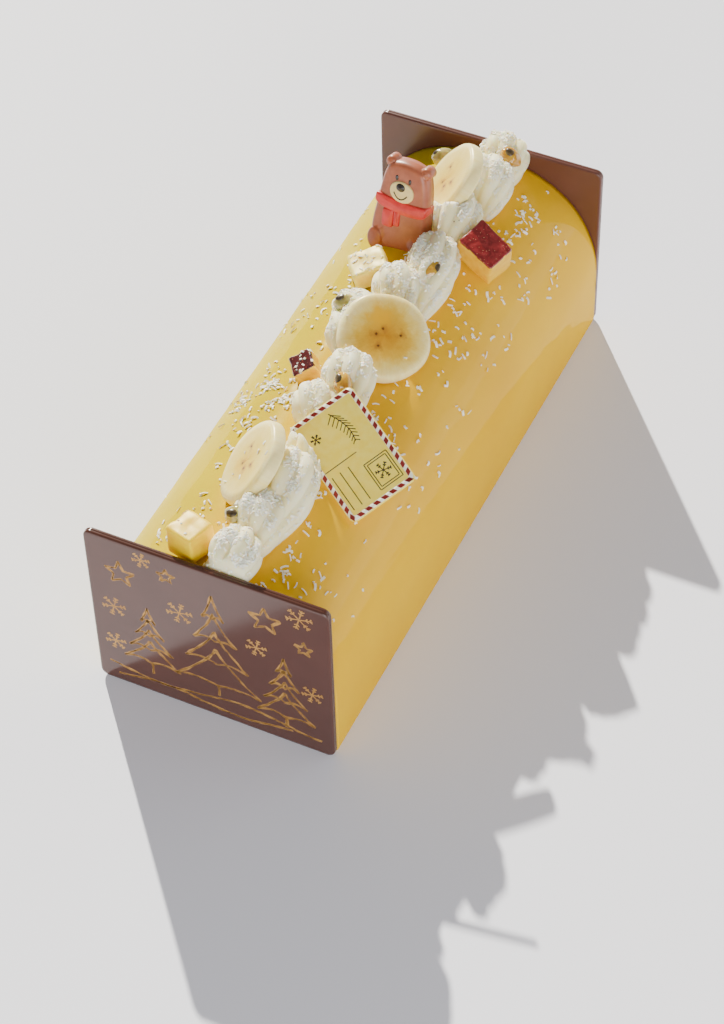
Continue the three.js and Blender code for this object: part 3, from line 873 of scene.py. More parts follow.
# %% Fruit flesh and red skin
def fruit_flesh(name, low, high, fibres):
    made, tree, shader = paint(name, Roughness=0.42, Subsurface_Weight=0.45, Subsurface_Scale=0.004,
                               Subsurface_Radius=(1.0, 0.7, 0.25), Specular_Tint=(1.0, 0.85, 0.4, 1.0))
    place = place_of(tree)
    drawn = add(tree, "ShaderNodeMapping", None, Vector=place, Scale=(1.0, 0.25, 1.0))
    broad = sums(tree, "MULTIPLY", grain(tree, place, 160, 3), 0.4)
    mixed = sums(tree, "MULTIPLY_ADD", grain(tree, drawn.outputs[0], fibres, 4), 0.6, broad)
    feed(tree, shader, Base_Color=shades(tree, mixed, [(0.35, low), (0.65, high)]))
    roughen(tree, shader, mixed, 0.22 * MM, 0.4)
    return made


mango_flesh = fruit_flesh("mango_flesh", (0.84, 0.54, 0.0), (0.88, 0.62, 0.0), 520)
pale_fruit = fruit_flesh("pale_fruit_flesh", (0.88, 0.66, 0.10), (0.93, 0.78, 0.22), 620)
amber_flesh = fruit_flesh("amber_flesh", (0.72, 0.38, 0.0), (0.84, 0.54, 0.04), 420)


def fruit_skin(name, dark, middle, light):
    made, tree, shader = paint(name, Roughness=0.2, Coat_Weight=0.8, Coat_Roughness=0.06)
    place = place_of(tree)
    drift = grain(tree, place, 260, 4, 0.6, 1.5)
    # Streaks in the skin's own reds; the lightest tone is partly painted highlight along the glossy skin.
    streaks_and_highlights = shades(tree, drift, [(0.42, dark), (0.62, middle), (0.74, light)])
    pores = add(tree, "ShaderNodeTexVoronoi", None, Vector=place, Scale=900)
    dots = shades(tree, pores.outputs["Distance"], [(0.10, WHITE), (0.17, BLACK)])
    faint = sums(tree, "MULTIPLY", dots, 0.6)
    feed(tree, shader, Base_Color=blend_colours(tree, faint, streaks_and_highlights, (0.78, 0.38, 0.20)))
    roughen(tree, shader, grain(tree, place, 500, 2), 0.06 * MM, 0.4)
    return made


red_skin = fruit_skin("red_skin", (0.17, 0.006, 0.006), (0.30, 0.02, 0.02), (0.42, 0.07, 0.06))
dark_skin = fruit_skin("dark_red_skin", (0.05, 0.003, 0.003), (0.10, 0.006, 0.005), (0.16, 0.015, 0.012))

# Each cube has its size, the colour slot, the flesh and what its upper face shows.
CUBES = (
    ("fruit_cube_front", (12, 12, 11), "yellow_fruit", mango_flesh, mango_flesh),
    ("fruit_cube_bear", (14, 12.5, 8), "yellow_fruit", pale_fruit, pale_fruit),
    ("red_cube_left", (9, 9.5, 7), "red_fruit", amber_flesh, dark_skin),
    ("red_cube_right", (17, 12.5, 12.5), "red_fruit", amber_flesh, red_skin),
)
for node, size, slot, *finishes in CUBES:
    piece(node + "_cut", cube_mesh(node, size), finishes, slot, node)

# %% [markdown]
# ## Passion fruit seeds
# Each seed lies in a drop of pulp. The drop is a ball drawn out to one end and made uneven. The dark seed
# is a flattened drop that stands out of the upper side of the pulp, under the same wet shine.

# %% Seeds and their pulp
SEED_SIZE = (4.4, 3.3, 3.1)
KERNEL_SIZE = (2.3, 1.5, 1.0)
KERNEL_AT = (-0.9, 0.2, 2.35)
DROP_NARROWING = 0.25
LUMP_SHARE = 1.6


def drop_mesh(name, size, at, lumps, detail):
    work = bmesh.new()
    bmesh.ops.create_icosphere(work, subdivisions=detail, radius=1)
    for vertex in work.verts:
        unit = vertex.co.copy()
        narrow = 1 - DROP_NARROWING * unit.x ** 2 * max(0, unit.x)
        swell = 1 + lumps * noise.noise(unit * LUMP_SHARE + Vector((len(name), 3, 1)))
        vertex.co = Vector((unit.x * size[0], unit.y * size[1] * narrow, unit.z * size[2] * narrow)) * swell
        vertex.co = (vertex.co + Vector(at)) * MM
    mesh = mesh_from(work, name)
    mesh.transform(PLACES[name])
    return mesh


def pulp(name, low, high):
    made, tree, shader = paint(name, Roughness=0.12, IOR=1.4, Subsurface_Weight=0.6, Subsurface_Scale=0.004,
                               Subsurface_Radius=(1.0, 0.55, 0.12), Coat_Weight=1.0, Coat_Roughness=0.04)
    cloud = grain(tree, place_of(tree), 300, 3)
    feed(tree, shader, Base_Color=shades(tree, cloud, [(0.3, low), (0.7, high)]))
    return made


amber_pulp = pulp("amber_pulp", (0.42, 0.20, 0.01), (0.68, 0.40, 0.03))
pale_pulp = pulp("pale_pulp", (0.30, 0.26, 0.06), (0.60, 0.54, 0.20))
kernel, tree, shader = paint("seed_kernel", Roughness=0.3, Coat_Weight=0.25, Coat_Roughness=0.12)
place = place_of(tree)
mottle = grain(tree, place, 900, 3)
husk = shades(tree, mottle, [(0.35, (0.035, 0.022, 0.010)), (0.7, (0.11, 0.075, 0.03))])
feed(tree, shader, Base_Color=husk)
roughen(tree, shader, grain(tree, place, 1400, 2), 0.05 * MM, 0.5)

DROPS = {"seed_front": pale_pulp, "seed_card": amber_pulp, "seed_left": pale_pulp, "seed_middle": amber_pulp,
         "seed_left_back": pale_pulp, "seed_back": amber_pulp}
for node, flesh in DROPS.items():
    piece(node + "_pulp", drop_mesh(node, SEED_SIZE, (0, 0, 0), 0.12, 4), flesh, "fruit_pulp", node)
    piece(node + "_kernel", drop_mesh(node, KERNEL_SIZE, KERNEL_AT, 0.05, 3), kernel, "fruit_pulp")

# %% [markdown]
# ## The chocolate bear
# The bear is cast in an open mould, so it has a flat back, and its face and scarf rise from the front in
# low, rounded steps. Each step is a pillow: a rounded outline carried up, turned over at the edge and
# closed by a low dome.

# %% A pillow
PILLOW_SIDES = 64
EDGE_STEPS = 6
DOME_RINGS = (0.8, 0.55, 0.3)
DOME_RISE = 0.3


def pillow(width, height, across, up, thick, edge, power=2.0, turned=0.0, sag=0.0, floor_at=0.0):
    """Its size, the place of its middle, how far it rises and how wide its rounded edge is, all in mm."""
    outline = [[math.copysign(abs(part) ** (2 / power), part) for part in way]
               for way in circle(PILLOW_SIDES)]
    levels = [(0.0, floor_at), (0.0, (floor_at + thick - edge) / 2), (0.0, thick - edge)]
    for step in range(1, EDGE_STEPS + 1):
        turn = math.pi / 2 * step / EDGE_STEPS
        levels.append((edge * (1 - math.cos(turn)), thick - edge + edge * math.sin(turn)))
    rows = [(1 - 2 * inset / width, 1 - 2 * inset / height, z) for inset, z in levels]
    rim_x, rim_y = rows[-1][:2]
    rows += [(rim_x * s, rim_y * s, thick + DOME_RISE * (1 - s * s)) for s in DOME_RINGS]
    tilt = math.radians(turned)

    def spot(x, y, z):
        px = x * width / 2
        py = y * height / 2 - sag * (1 - x * x)
        return Vector((across + px * math.cos(tilt) - py * math.sin(tilt),
                       up + px * math.sin(tilt) + py * math.cos(tilt), z)) * MM

    rings = [[spot(x * sx, y * sy, z) for x, y in outline] for sx, sy, z in rows]
    return skin_of("pillow", rings, spot(0, 0, floor_at), spot(0, 0, thick + DOME_RISE))


# %% The bear and its scarf
BEAR_SOLE = Vector((-10.8, 59.9, 65.2)) * MM
BEAR_LEAN = math.radians(15)
BEAR_YAW = math.radians(-7)
bear_place = (Matrix.Translation(BEAR_SOLE) @ Matrix.Rotation(BEAR_YAW, 4, "Z")
              @ Matrix.Rotation(math.pi / 2 - BEAR_LEAN, 4, "X"))
BELL = [(0.0, 0.0), (6.5, 0.0), (9.6, 1.0), (11.2, 3.6), (11.6, 7.5), (11.6, 11.5), (11.2, 15.8), (10.7, 20),
        (10.2, 24.5), (9.7, 28.5), (9.1, 32), (8.2, 34.8), (6.7, 36.8), (3.8, 38.0), (0.0, 38.4)]
BELL_T = 6.0
BELL_LEVELS = [(0.0, 0.0), (0.0, 2.2), (0.0, 4.0), (0.2, 4.7), (0.6, 5.35), (1.2, 5.82), (1.9, BELL_T)]
BELL_FINER = 4
BELL_MIDDLE = Vector((0, 16))
BELL_SHIFT = 0.2


def bell_outline():
    """The bear's outline, finer and smoothed, with the outward direction at each point."""
    coarse = [Vector(p) for p in BELL] + [Vector((-x, y)) for x, y in BELL[-2:0:-1]]
    points = []
    for i in range(len(coarse)):
        a, b, c, d = (coarse[(i + k) % len(coarse)] for k in (-1, 0, 1, 2))
        for k in range(BELL_FINER):
            t = k / BELL_FINER
            points.append(0.5 * (2 * b + (c - a) * t + (2 * a - 5 * b + 4 * c - d) * t ** 2
                                 + (3 * b - a - 3 * c + d) * t ** 3))
    count = len(points)
    runs = [(points[(i + 1) % count] - points[i - 1]).normalized() for i in range(count)]
    return [(p, Vector((run.y, -run.x))) for p, run in zip(points, runs)]


def bell_mesh():
    outline = bell_outline()
    rings = [[p - outward * inset for p, outward in outline] for inset, z in BELL_LEVELS]
    heights = [z for inset, z in BELL_LEVELS]
    rings += [[BELL_MIDDLE + (p - BELL_MIDDLE) * s for p in rings[-1]] for s in DOME_RINGS]
    heights += [BELL_T + DOME_RISE * (1 - s * s) for s in DOME_RINGS]
    solid = [[Vector((p.x + BELL_SHIFT, p.y, z)) * MM for p in ring] for ring, z in zip(rings, heights)]
    middle = Vector((BELL_MIDDLE.x + BELL_SHIFT, BELL_MIDDLE.y, 0))
    return skin_of("bell", solid, middle * MM, (middle + Vector((0, 0, BELL_T + DOME_RISE))) * MM)


ears = [pillow(4.6, 4.6, x, 36.4, 4.8, 1.4) for x in (-7.1, 7.5)]
feet = [pillow(6.5, 9.2, x, 4.6, 6.9, 1.3, turned=turned) for x, turned in ((-8.7, 6), (9.1, -6))]
bear = solved("bear", bell_mesh(), ears + feet, "UNION")
scarf = solved("bear_scarf", pillow(21.6, 5.2, 0.3, 22.1, 6.9, 0.7, 4.5, sag=1.3, floor_at=0.5),
               [pillow(4.8, 7.4, -4.2, 15.2, 7.1, 0.6, 5, turned=3, floor_at=3),
                pillow(2.6, 6.4, -0.6, 16.0, 6.9, 0.6, 5, turned=3, floor_at=3)], "UNION")
muzzle = solved("bear_muzzle", pillow(10.0, 8.4, 0.0, 27.2, 6.9, 0.6, 2.1, floor_at=3), [], "UNION")

# %% The bear's nose, eyes and smile
SMILE_STEPS = 16
SMILE_SIDES = 8
SMILE_R = 0.28
SMILE_AT = Vector((-0.1, 24.5, 7.0))
SMILE_HALF_W, SMILE_RISE = 2.8, 2.2


def smile_mesh():
    rings = []
    for step in range(SMILE_STEPS + 1):
        share = 2 * step / SMILE_STEPS - 1
        spot = (SMILE_AT + Vector((SMILE_HALF_W * share, SMILE_RISE * share ** 2, 0))) * MM
        side = Vector((-2 * SMILE_RISE * share, SMILE_HALF_W, 0)).normalized()
        up = Vector((0, 0, 1))
        rings.append([spot + SMILE_R * MM * (side * c + up * s) for c, s in circle(SMILE_SIDES)])
    centres = [sum(ring, Vector()) / SMILE_SIDES for ring in (rings[0], rings[-1])]
    return skin_of("smile", rings, *centres)


nose = pillow(3.8, 3.3, -0.4, 29.2, 7.6, 0.8, floor_at=5)
eyes = [pillow(1.4, 2.2, x, 32.2, 6.3, 0.3, floor_at=5) for x in (-2.9, 2.6)]
features = joined("bear_features", [faces_outward(mesh) for mesh in (nose, *eyes, smile_mesh())])

# %% [markdown]
# The bear is cast in warm milk chocolate. Its scarf, muzzle and features are coloured cocoa butter,
# painted into the mould first, so they are smooth and a little brighter, with slight unevenness from the
# brush.

# %% Cocoa butter colours
def cocoa_paint(name, dark, light, roughness):
    made, tree, shader = paint(name, Roughness=roughness, Subsurface_Weight=0.1, Subsurface_Scale=0.001)
    place = place_of(tree)
    feed(tree, shader, Base_Color=shades(tree, grain(tree, place, 320, 4), [(0.35, dark), (0.65, light)]))
    roughen(tree, shader, grain(tree, place, 800, 3), 0.06 * MM, 0.4)
    return made


bear_chocolate = cocoa_paint("bear_chocolate", (0.33, 0.090, 0.040), (0.40, 0.116, 0.053), 0.34)
scarf_red = cocoa_paint("scarf_red", (0.54, 0.02, 0.018), (0.64, 0.035, 0.028), 0.34)
muzzle_cream = cocoa_paint("muzzle_cream", (0.74, 0.56, 0.22), (0.80, 0.64, 0.28), 0.4)
dark_cocoa = cocoa_paint("dark_cocoa", (0.018, 0.014, 0.014), (0.035, 0.026, 0.024), 0.25)
for name, mesh, finish, *nodes in (
        ("bear_body", bear, bear_chocolate, "bear"), ("bear_scarf", scarf, scarf_red),
        ("bear_muzzle", muzzle, muzzle_cream), ("bear_features", features, dark_cocoa)):
    mesh.transform(bear_place)
    piece(name, mesh, finish, "bear_chocolate", *nodes)

# %% [markdown]
# ## Drawn lines
# The ink on the card and the gold on the front plate are both thin lines laid on a flat face. One tree
# serves both: it takes lines of plain edges, spaces their points evenly, carries a small round section
# along them and flattens the result into a low ribbon.

# %% A tree for drawn lines
tree, given = start_tree("drawn_lines", {
    "Line Width": "Float", "Line Height": "Float", "Step": "Float", "Material": "Material"})
curves = add(tree, "GeometryNodeMeshToCurve", None, Mesh=given["Geometry"])
spaced = add(tree, "GeometryNodeResampleCurve", {"mode": "LENGTH"}, Curve=curves.outputs[0],
             Length=given["Step"])
section = add(tree, "GeometryNodeCurvePrimitiveCircle", None, Resolution=6,
              Radius=sums(tree, "DIVIDE", given["Line Width"], 2.0))
tube = add(tree, "GeometryNodeCurveToMesh", None, Curve=spaced.outputs[0], Profile_Curve=section.outputs[0],
           Fill_Caps=True)
flatness = sums(tree, "DIVIDE", given["Line Height"], given["Line Width"])
squash = xyz(tree, 1.0, 1.0, flatness)
ribbon = add(tree, "GeometryNodeTransform", None, Geometry=tube.outputs[0], Scale=squash)
end_tree(tree, ribbon.outputs[0], given["Material"])
line_tree = tree


def line_source(name, lines):
    points, edges = [], []
    for line in lines:
        start = len(points)
        points += [Vector((x, y, 0)) * MM for x, y in line]
        edges += [(i, i + 1) for i in range(start, len(points) - 1)]
    return helper(name, mesh_of(name, points, [], edges))


def drawn(name, lines, width, material, place, height=0.1, step=0.5):
    mesh = grown(name, line_source(name, lines), line_tree, {
        "Line Width": width * MM, "Line Height": height * MM, "Step": step * MM, "Material": material})
    mesh.transform(place)
    return mesh


FLAKE_ARMS = 6
FLAKE_TURN = 0.25
FLAKE_TWIGS = (0.5, 0.78)
FLAKE_TWIG_L = 0.26


def snowflake(x, y, size):
    lines = []
    for arm in range(FLAKE_ARMS):
        turn = 2 * math.pi * (arm + FLAKE_TURN) / FLAKE_ARMS
        along = Vector((math.cos(turn), math.sin(turn)))
        aside = Vector((-along.y, along.x))
        lines.append([(x, y), (x + size * along.x, y + size * along.y)])
        for share in FLAKE_TWIGS:
            tip = along * size * share
            for hand in (-1, 1):
                end = tip + (along + hand * aside) * (size * FLAKE_TWIG_L) * 0.7
                lines.append([(x + tip.x, y + tip.y), (x + end.x, y + end.y)])
    return lines


# %% [markdown]
# ## The card
# The card is a thin rounded slab of ivory chocolate with a white rim. The rim's red dashes follow its
# outline, so a second small tree sets them out: it walks round the path and puts one slanted dash at each
# step.

# %% Card and its white rim
CARD_L, CARD_W, CARD_T, CARD_CORNER_R = 41, 27, 1.4, 2.5
RIM_OUT, RIM_IN, PRINT_H = 0.3, 2.0, 0.05
CARD_PROFILE = [(-0.7, 1.0), (-0.7, 0.3), (-0.6, 0.1), (-0.4, 0.0), (0.4, 0.0), (0.6, 0.1), (0.7, 0.3),
                (0.7, 1.0)]
RIM_PROFILE = [(-PRINT_H, RIM_OUT), (PRINT_H, RIM_OUT), (PRINT_H, RIM_IN), (-PRINT_H, RIM_IN),
               (-PRINT_H, RIM_OUT)]
card_place = PLACES["card"]
card_face = card_place @ Matrix.Translation(Vector((0, 0, CARD_T / 2 * MM)))


def card_outline(inset):
    return rounded_outline(CARD_L, CARD_W, CARD_CORNER_R, inset)


def card_rings(profile):
    return [[Vector((p.x, p.y, z)) * MM for p in card_outline(inset)] for z, inset in profile]


ends = [Vector((0, 0, side * CARD_T / 2 * MM)) for side in (-1, 1)]
card_mesh = faces_outward(skin_of("card", card_rings(CARD_PROFILE), *ends))
card_mesh.transform(card_place)
rim_mesh = faces_outward(skin_of("rim", card_rings(RIM_PROFILE)))
rim_mesh.transform(card_face)

# %% A tree for the dashes
tree, given = start_tree("dashes", {
    "Count": "Int", "Dash Length": "Float", "Dash Width": "Float", "Dash Height": "Float", "Slant": "Float",
    "Material": "Material"})
path = add(tree, "GeometryNodeMeshToCurve", None, Mesh=given["Geometry"])
spots = add(tree, "GeometryNodeCurveToPoints", {"mode": "COUNT"}, Curve=path.outputs[0], Count=given["Count"])
dash_size = xyz(tree, given["Dash Width"], given["Dash Height"], given["Dash Length"])
dash = add(tree, "GeometryNodeMeshCube", None, Size=dash_size)
corner = add(tree, "GeometryNodeInputPosition").outputs[0]
aside = add(tree, "ShaderNodeSeparateXYZ", None, Vector=corner).outputs["X"]
lean = add(tree, "GeometryNodeSetPosition", None, Geometry=dash.outputs[0],
           Offset=xyz(tree, z=sums(tree, "MULTIPLY", aside, given["Slant"])))
laid = add(tree, "GeometryNodeInstanceOnPoints", None, Points=spots.outputs["Points"],
           Instance=lean.outputs[0], Rotation=spots.outputs["Rotation"])
end_tree(tree, laid.outputs[0], given["Material"])
dash_tree = tree

# %% Card colours
ivory = cocoa_paint("ivory_chocolate", (0.95, 0.73, 0.07), (0.98, 0.80, 0.13), 0.4)
rim_white = cocoa_paint("rim_white", (0.92, 0.86, 0.70), (0.96, 0.91, 0.78), 0.36)
dash_red = cocoa_paint("dash_red", (0.20, 0.012, 0.010), (0.27, 0.018, 0.014), 0.4)
brown_ink = cocoa_paint("brown_ink", (0.02, 0.012, 0.008), (0.035, 0.02, 0.012), 0.45)

# %% Dashes on the card
middle = [(p.x, p.y) for p in card_outline((RIM_OUT + RIM_IN) / 2)]
dashes = grown("card_dashes", line_source("dash_path", [middle + middle[:1]]), dash_tree, {
    "Count": 38, "Dash Length": 2.0 * MM, "Dash Width": 1.5 * MM, "Dash Height": 0.16 * MM, "Slant": 0.6,
    "Material": dash_red})
dashes.transform(card_face)

# %% Print on the card
ADDRESS_ROWS = (-10.2, -6.9, -3.5)
DIVIDER = [(0.4, -11.4), (0.4, 1.8)]
STAMP_X, STAMP_Y, STAMP_HALF_W, STAMP_HALF_H = 11.2, 5.8, 5.4, 4.6
STAMP_GAP = 0.9
INK_WIDTH, INK_HEIGHT = 0.36, 0.12
SPRIG_RISE, SPRIG_BEND = 3.0, 2.2
NEEDLE = (2.1, 2.4)


def stamp_frame(gap):
    half_w, half_h = STAMP_HALF_W - gap, STAMP_HALF_H - gap
    corners = ((-1, -1), (1, -1), (1, 1), (-1, 1), (-1, -1))
    return [(STAMP_X + x * half_w, STAMP_Y + y * half_h) for x, y in corners]


def sprig(x, y, length, needles):
    def stem(t):
        return x + length * t, y + SPRIG_RISE * math.sin(SPRIG_BEND * t)

    lines = [[stem(i / 12) for i in range(13)]]
    for i in range(needles):
        t = (i + 0.6) / needles
        root = Vector(stem(t))
        for hand in (-1, 1):
            tip = root + Vector((NEEDLE[0], hand * NEEDLE[1])) * (1.15 - 0.6 * t)
            lines.append([tuple(root), tuple(tip)])
    return lines


ink = [DIVIDER] + [[(3.0, y), (16.8, y)] for y in ADDRESS_ROWS] + [stamp_frame(0), stamp_frame(STAMP_GAP)]
ink += snowflake(STAMP_X, STAMP_Y, 3.0) + sprig(-16.5, 1.4, 13.5, 9) + snowflake(-11.5, -7.2, 1.9)
ink_mesh = drawn("card_ink", ink, INK_WIDTH, brown_ink, card_face, INK_HEIGHT)
piece("card_slab", card_mesh, ivory, "card", "card")
piece("card_rim", rim_mesh, rim_white, "card")
piece("card_dashes", dashes, None, "card", smooth=False)
piece("card_ink", ink_mesh, None, "card", smooth=False)

# %% [markdown]
# ## Gold on the front plate
# The front plate carries a plain winter pattern in gold: firs, stars and snowflakes over a snowy slope.
# It's drawn with a dry brush. Each stroke is gone over again with a slight shake, and the gold breaks up
# along it.

# %% Brushed gold
gold, tree, shader = paint("brushed_gold", Roughness=0.42)
place = place_of(tree)
gaps = shades(tree, grain(tree, place, 700, 4, 0.7), [(0.36, BLACK), (0.44, WHITE)])
leaf = shades(tree, grain(tree, place, 180, 3), [(0.3, (0.44, 0.21, 0.035)), (0.7, (0.58, 0.31, 0.07))])
feed(tree, shader, Base_Color=blend_colours(tree, gaps, (0.22, 0.09, 0.05), leaf),
     Metallic=sums(tree, "MULTIPLY", gaps, 0.3))

# %% The pattern
PLATE_FACE = Matrix(((1, 0, 0, 0), (0, 0, -1, -PLATE_OUTER_Y * MM), (0, 1, 0, 0), (0, 0, 0, 1)))
SHAKE = 0.8
SHAKE_LENGTH = 5
PASSES = 4
GOLD_WIDTH, GOLD_HEIGHT, GOLD_STEP = 0.5, 0.1, 0.8
SHORT_STEP = 1.2
FIR_TIERS = 4
STAR_TIPS = 5
STAR_WAIST = 0.42
SLOPE_WAVES = 2.6
FIRS = ((-24, 16, 11, 30), (2, 17, 16, 48), (28, 13, 11, 32))
STARS = ((-33, 60, 6.0), (22, 62, 6.4), (36, 54, 3.6), (-15, 67, 3.6))
FLAKES = ((-11, 50, 5.2), (35, 69, 5.2), (-37, 41, 4.8), (18, 46, 4.2), (-38, 22, 4.2), (38.5, 31, 4.2),
          (-24, 71, 3.6))


def shaken(line, pass_number):
    moved = []
    for x, y in line:
        aside, up = [noise.noise(Vector((x / SHAKE_LENGTH, y / SHAKE_LENGTH, 7.3 * pass_number + start)))
                     for start in (0.4, 40.6)]
        moved.append((x + SHAKE * aside, y + SHAKE * up))
    return moved


def finer(line):
    points = []
    for (ax, ay), (bx, by) in zip(line, line[1:]):
        count = max(1, round(math.hypot(bx - ax, by - ay) / SHORT_STEP))
        points += [(ax + (bx - ax) * i / count, ay + (by - ay) * i / count) for i in range(count)]
    return points + [line[-1]]


def fir(x, foot, half_w, height):
    lines = [[(x, foot - 5), (x, foot + 0.5)]]
    steps = [i / 8 for i in range(9)]
    for tier in range(FIR_TIERS):
        top = foot + height * (1 - tier / FIR_TIERS * 0.78)
        low = foot + height * (1 - (tier + 1) / FIR_TIERS)
        reach = half_w * (tier + 1) / FIR_TIERS
        for hand in (-1, 1):
            lines.append([(x + hand * reach * t ** 1.3, top + (low - top) * t) for t in steps])
            lines.append([(x + hand * reach * (1 - t), low + 1.6 * math.sin(math.pi * t)) for t in steps])
    return lines


def star(x, y, size):
    points = []
    for k in range(2 * STAR_TIPS + 1):
        reach = size if k % 2 == 0 else STAR_WAIST * size
        turn = math.pi / 2 + math.pi * k / STAR_TIPS
        points.append((x + reach * math.cos(turn), y + reach * math.sin(turn)))
    return [points]


def slope(start, end, height, swell):
    steps = [i / 40 for i in range(41)]
    return [[(start + (end - start) * t, height + swell * math.sin(SLOPE_WAVES * math.pi * t + height))
             for t in steps]]


strokes = slope(-41, 41, 9, 2.2) + slope(-38, 30, 5.5, 1.6)
for row in FIRS:
    strokes += fir(*row)
for row in STARS:
    strokes += star(*row)
sketched = [shaken(finer(line), turn) for line in strokes for turn in range(PASSES)]
flakes = [line for row in FLAKES for line in snowflake(*row)]
for name, lines in (("gold_pattern", sketched), ("gold_flakes", flakes)):
    mesh = drawn(name, lines, GOLD_WIDTH, gold, PLATE_FACE, GOLD_HEIGHT, GOLD_STEP)
    piece(name, mesh, None, "plate_chocolate", smooth=False)

# %% [markdown]
# ## Grated coconut
# Coconut falls as short, bent strips. One tree scatters them on any surface: a painted weight on the
# surface says where they lie thick, each strip lies flat to the surface, and its turn, tilt and size are
# drawn from a fixed seed. The weight is nothing where another piece covers the surface.

# %% A tree that scatters shreds
SHRED_BENDS = (-0.3, 0.05, 0.18, 0.4)
SHRED_RISE = 0.35
SHRED_FLATNESS = 0.55
SHRED_TAPER = -0.6
SHRED_TURNS = (-0.5, -0.5, 0.0), (0.5, 0.5, 6.28)
SHRED_SIZES = (0.25, 0.6, 0.6), (1.25, 1.8, 1.6)

tree, given = start_tree("grated_coconut", {
    "Density": "Float", "Shred Length": "Float", "Shred Width": "Float", "Seed": "Int",
    "Material": "Material"})
weight = add(tree, "GeometryNodeInputNamedAttribute", {"data_type": "FLOAT"}, Name="coconut").outputs[0]
spots = add(tree, "GeometryNodeDistributePointsOnFaces", None, Mesh=given["Geometry"],
            Density=sums(tree, "MULTIPLY", weight, given["Density"]), Seed=given["Seed"])

half = sums(tree, "DIVIDE", given["Shred Length"], 2.0)
start, stop = xyz(tree, sums(tree, "MULTIPLY", half, -1.0)), xyz(tree, half)
rise = sums(tree, "MULTIPLY", half, SHRED_RISE)
strip = add(tree, "GeometryNodeCurvePrimitiveQuadrilateral", None, Width=given["Shred Width"],
            Height=sums(tree, "MULTIPLY", given["Shred Width"], SHRED_FLATNESS))
along = add(tree, "GeometryNodeSplineParameter").outputs["Factor"]
away = sums(tree, "MULTIPLY_ADD", along, 2.0, -1.0)
slim = sums(tree, "MULTIPLY_ADD", sums(tree, "MULTIPLY", away, away), SHRED_TAPER, 1.0)
shreds = tree.nodes.new("GeometryNodeJoinGeometry")
for bend in SHRED_BENDS:
    bow = xyz(tree, y=sums(tree, "MULTIPLY", half, bend), z=rise)
    curve = add(tree, "GeometryNodeCurveQuadraticBezier", None, Resolution=3, Start=start, Middle=bow,
                End=stop)
    tapered = add(tree, "GeometryNodeSetCurveRadius", None, Curve=curve.outputs[0], Radius=slim)
    shred = add(tree, "GeometryNodeCurveToMesh", None, Curve=tapered.outputs[0],
                Profile_Curve=strip.outputs[0], Fill_Caps=True)
    single = add(tree, "GeometryNodeGeometryToInstance", None, Geometry=shred.outputs[0])
    feed(tree, shreds, Geometry=single.outputs[0])

spin, size = [add(tree, "FunctionNodeRandomValue", {"data_type": "FLOAT_VECTOR"}, _0=low, _1=high,
                  Seed=given["Seed"]).outputs[0] for low, high in (SHRED_TURNS, SHRED_SIZES)]
spun = add(tree, "FunctionNodeEulerToRotation", None, Euler=spin)
turned = add(tree, "FunctionNodeRotateRotation", {"rotation_space": "LOCAL"},
             Rotation=spots.outputs["Rotation"], Rotate_By=spun.outputs[0])
strewn = add(tree, "GeometryNodeInstanceOnPoints", None, Points=spots.outputs["Points"], Pick_Instance=True,
             Instance=shreds.outputs[0], Rotation=turned.outputs[0], Scale=size)
end_tree(tree, strewn.outputs[0], given["Material"])
shred_tree = tree

# %% Coconut
coconut, tree, shader = paint("coconut", Roughness=0.5, Subsurface_Weight=0.2, Subsurface_Scale=0.001)
place = place_of(tree)
tone = shades(tree, grain(tree, place, 600, 2), [(0.3, (0.98, 0.91, 0.72)), (0.7, (1.0, 0.96, 0.84))])
feed(tree, shader, Base_Color=tone)
roughen(tree, shader, grain(tree, place, 1500, 2), 0.05 * MM, 0.4)

# %% Where the coconut lies
CLEAR_ABOVE = 30 * MM
CLEAR_ASIDE = 0.8 * MM
START_ABOVE = 0.3
TOP_LOW, TOP_HIGH, TOP_HALF_L, TOP_STEP = -40, 42, 115, 1.5
TOP_LIFT = 0.15
CREAM_FACING = 0.25
FRUIT_FACING = 0.5
CLUMPS = ((1.5, 7.0), (1.7, 2.4))
ROW_X, ROW_HALF_W, ROW_FALL = 4, 11, 9
ROW_SHARE, BARE_SHARE = 0.75, 0.03
# Each patch has its place, how far it spreads and how thick it is.
PATCHES = ((-19, -31, 7.5, 3.4), (-20, -100, 5, 1.2), (22, -30, 7, 0.9), (24, 30, 8, 0.8), (26, -104, 6, 0.8),
           (27, 92, 9, 0.7), (30, 62, 6, 0.8), (-17, -97, 5, 1.0), (-22, 20, 6, 0.8))
DUSTED = {"red_cube_left": 0.45, "fruit_cube_bear": 0.3, "fruit_cube_front": 0.12, "banana_middle": 0.025,
          "banana_front": 0.05}


def cover_of(mesh):
    return BVHTree.FromPolygons([v.co for v in mesh.vertices], [p.vertices for p in mesh.polygons])


covers = {}
for node, each in frame["nodes"].items():
    if node not in ("log", "cream", "end_plate_front", "end_plate_back"):
        covers[node] = cover_of(each.data)
cream_cover = cover_of(cream_piece.data)


def is_open(spot, normal, blockers):
    above = spot + normal * START_ABOVE * MM
    for cover in blockers:
        if cover.ray_cast(above, normal, CLEAR_ABOVE)[0] is not None:
            return False
        if cover.find_nearest(above, CLEAR_ASIDE)[0] is not None:
            return False
    return True


def clumps(x, y, z=0.0):
    waves = [much * noise.noise(Vector((x, y, z)) / wide) for much, wide in CLUMPS]
    return max(0.0, 0.1 + waves[0] + waves[1])


def log_weight(x, y):
    row = ROW_SHARE * math.exp(-max(0, abs(x - ROW_X) - ROW_HALF_W) / ROW_FALL)
    patch = sum(much * math.exp(-((x - px) ** 2 + (y - py) ** 2) / (2 * wide ** 2))
                for px, py, wide, much in PATCHES)
    return clumps(x, y) * (row + BARE_SHARE + patch)


def weighted(name, mesh, weights):
    layer = mesh.attributes.new("coconut", "FLOAT", "POINT")
    layer.data.foreach_set("value", weights)
    return helper(name, mesh)


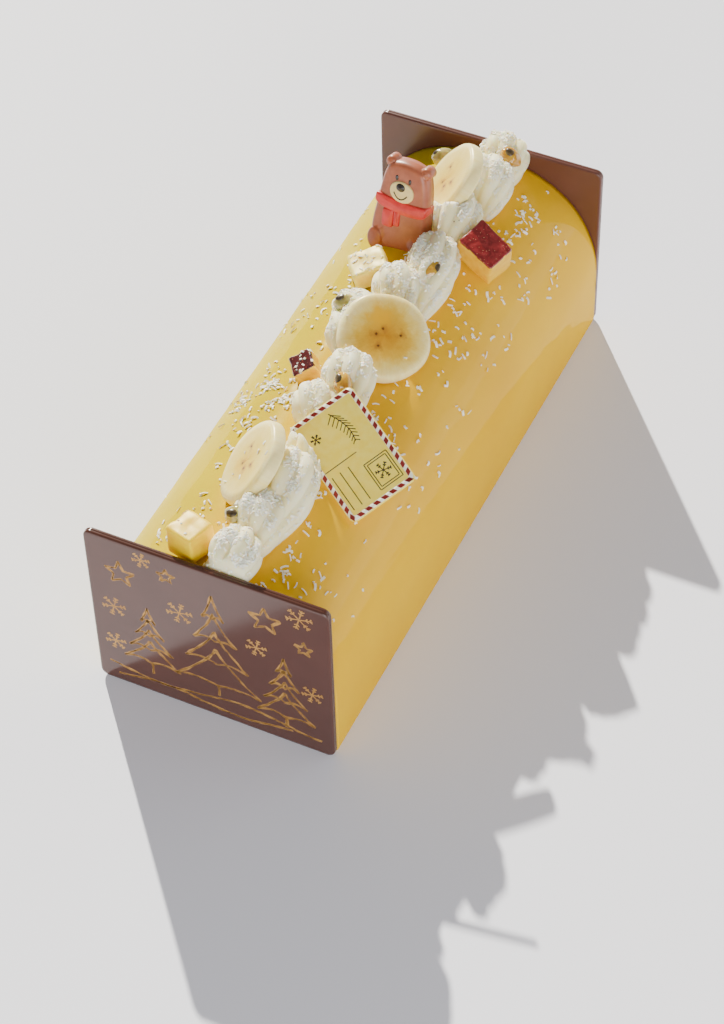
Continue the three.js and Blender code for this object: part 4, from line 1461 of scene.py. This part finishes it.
def log_ground():
    columns = round((TOP_HIGH - TOP_LOW) / TOP_STEP)
    rows = round(2 * TOP_HALF_L / TOP_STEP)
    points, weights, faces = [], [], []
    for r in range(rows + 1):
        for c in range(columns + 1):
            x, y = TOP_LOW + c * TOP_STEP, -TOP_HALF_L + r * TOP_STEP
            spot = Vector((x, y, arch_height(x))) * MM
            points.append(spot + arch_normal(x) * TOP_LIFT * MM)
            is_bare = is_open(spot, arch_normal(x), [*covers.values(), cream_cover])
            weights.append(log_weight(x, y) if is_bare else 0.0)
    for r in range(rows):
        for c in range(columns):
            a = r * (columns + 1) + c
            faces.append((a, a + 1, a + columns + 2, a + columns + 1))
    return weighted("log_ground", mesh_of("log_ground", points, faces), weights)


def cream_ground():
    copy = cream_piece.data.copy()
    weights = []
    for vertex in copy.vertices:
        x, y, z = vertex.co / MM
        dense = max(0.0, vertex.normal.z - CREAM_FACING) * clumps(1.3 * x, 1.3 * y, z)
        weights.append(dense if dense > 0 and is_open(vertex.co, vertex.normal, covers.values()) else 0.0)
    return weighted("cream_ground", copy, weights)


def fruit_ground():
    meshes = {}
    for each in bpy.data.objects:
        for node in DUSTED:
            if each.name in (node + "_cut", node + "_slice"):
                meshes[node] = each.data
    weights = []
    for node, mesh in meshes.items():
        others = [cover for name, cover in covers.items() if name != node]
        for vertex in mesh.vertices:
            is_bare = vertex.normal.z > FRUIT_FACING and is_open(vertex.co, vertex.normal, others)
            weights.append(DUSTED[node] if is_bare else 0.0)
    return weighted("fruit_ground", joined("fruit_ground", meshes.values()), weights)


# %% Scatter the coconut
def scatter(name, ground, density, length, width, seed, *nodes):
    mesh = grown(name, ground, shred_tree, {"Density": density, "Shred Length": length * MM,
                                            "Shred Width": width * MM, "Seed": seed, "Material": coconut})
    return piece(name, mesh, None, nodes[0], *nodes[1:], smooth=False)


scatter("coconut_on_log", log_ground(), 330000.0, 2.5, 0.5, 3, "glaze", "log")
scatter("coconut_on_cream", cream_ground(), 4200000.0, 1.5, 0.48, 5, "cream", "cream")
scatter("coconut_on_fruit", fruit_ground(), 420000.0, 1.8, 0.45, 8, "yellow_fruit")

# %% Size
low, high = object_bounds()
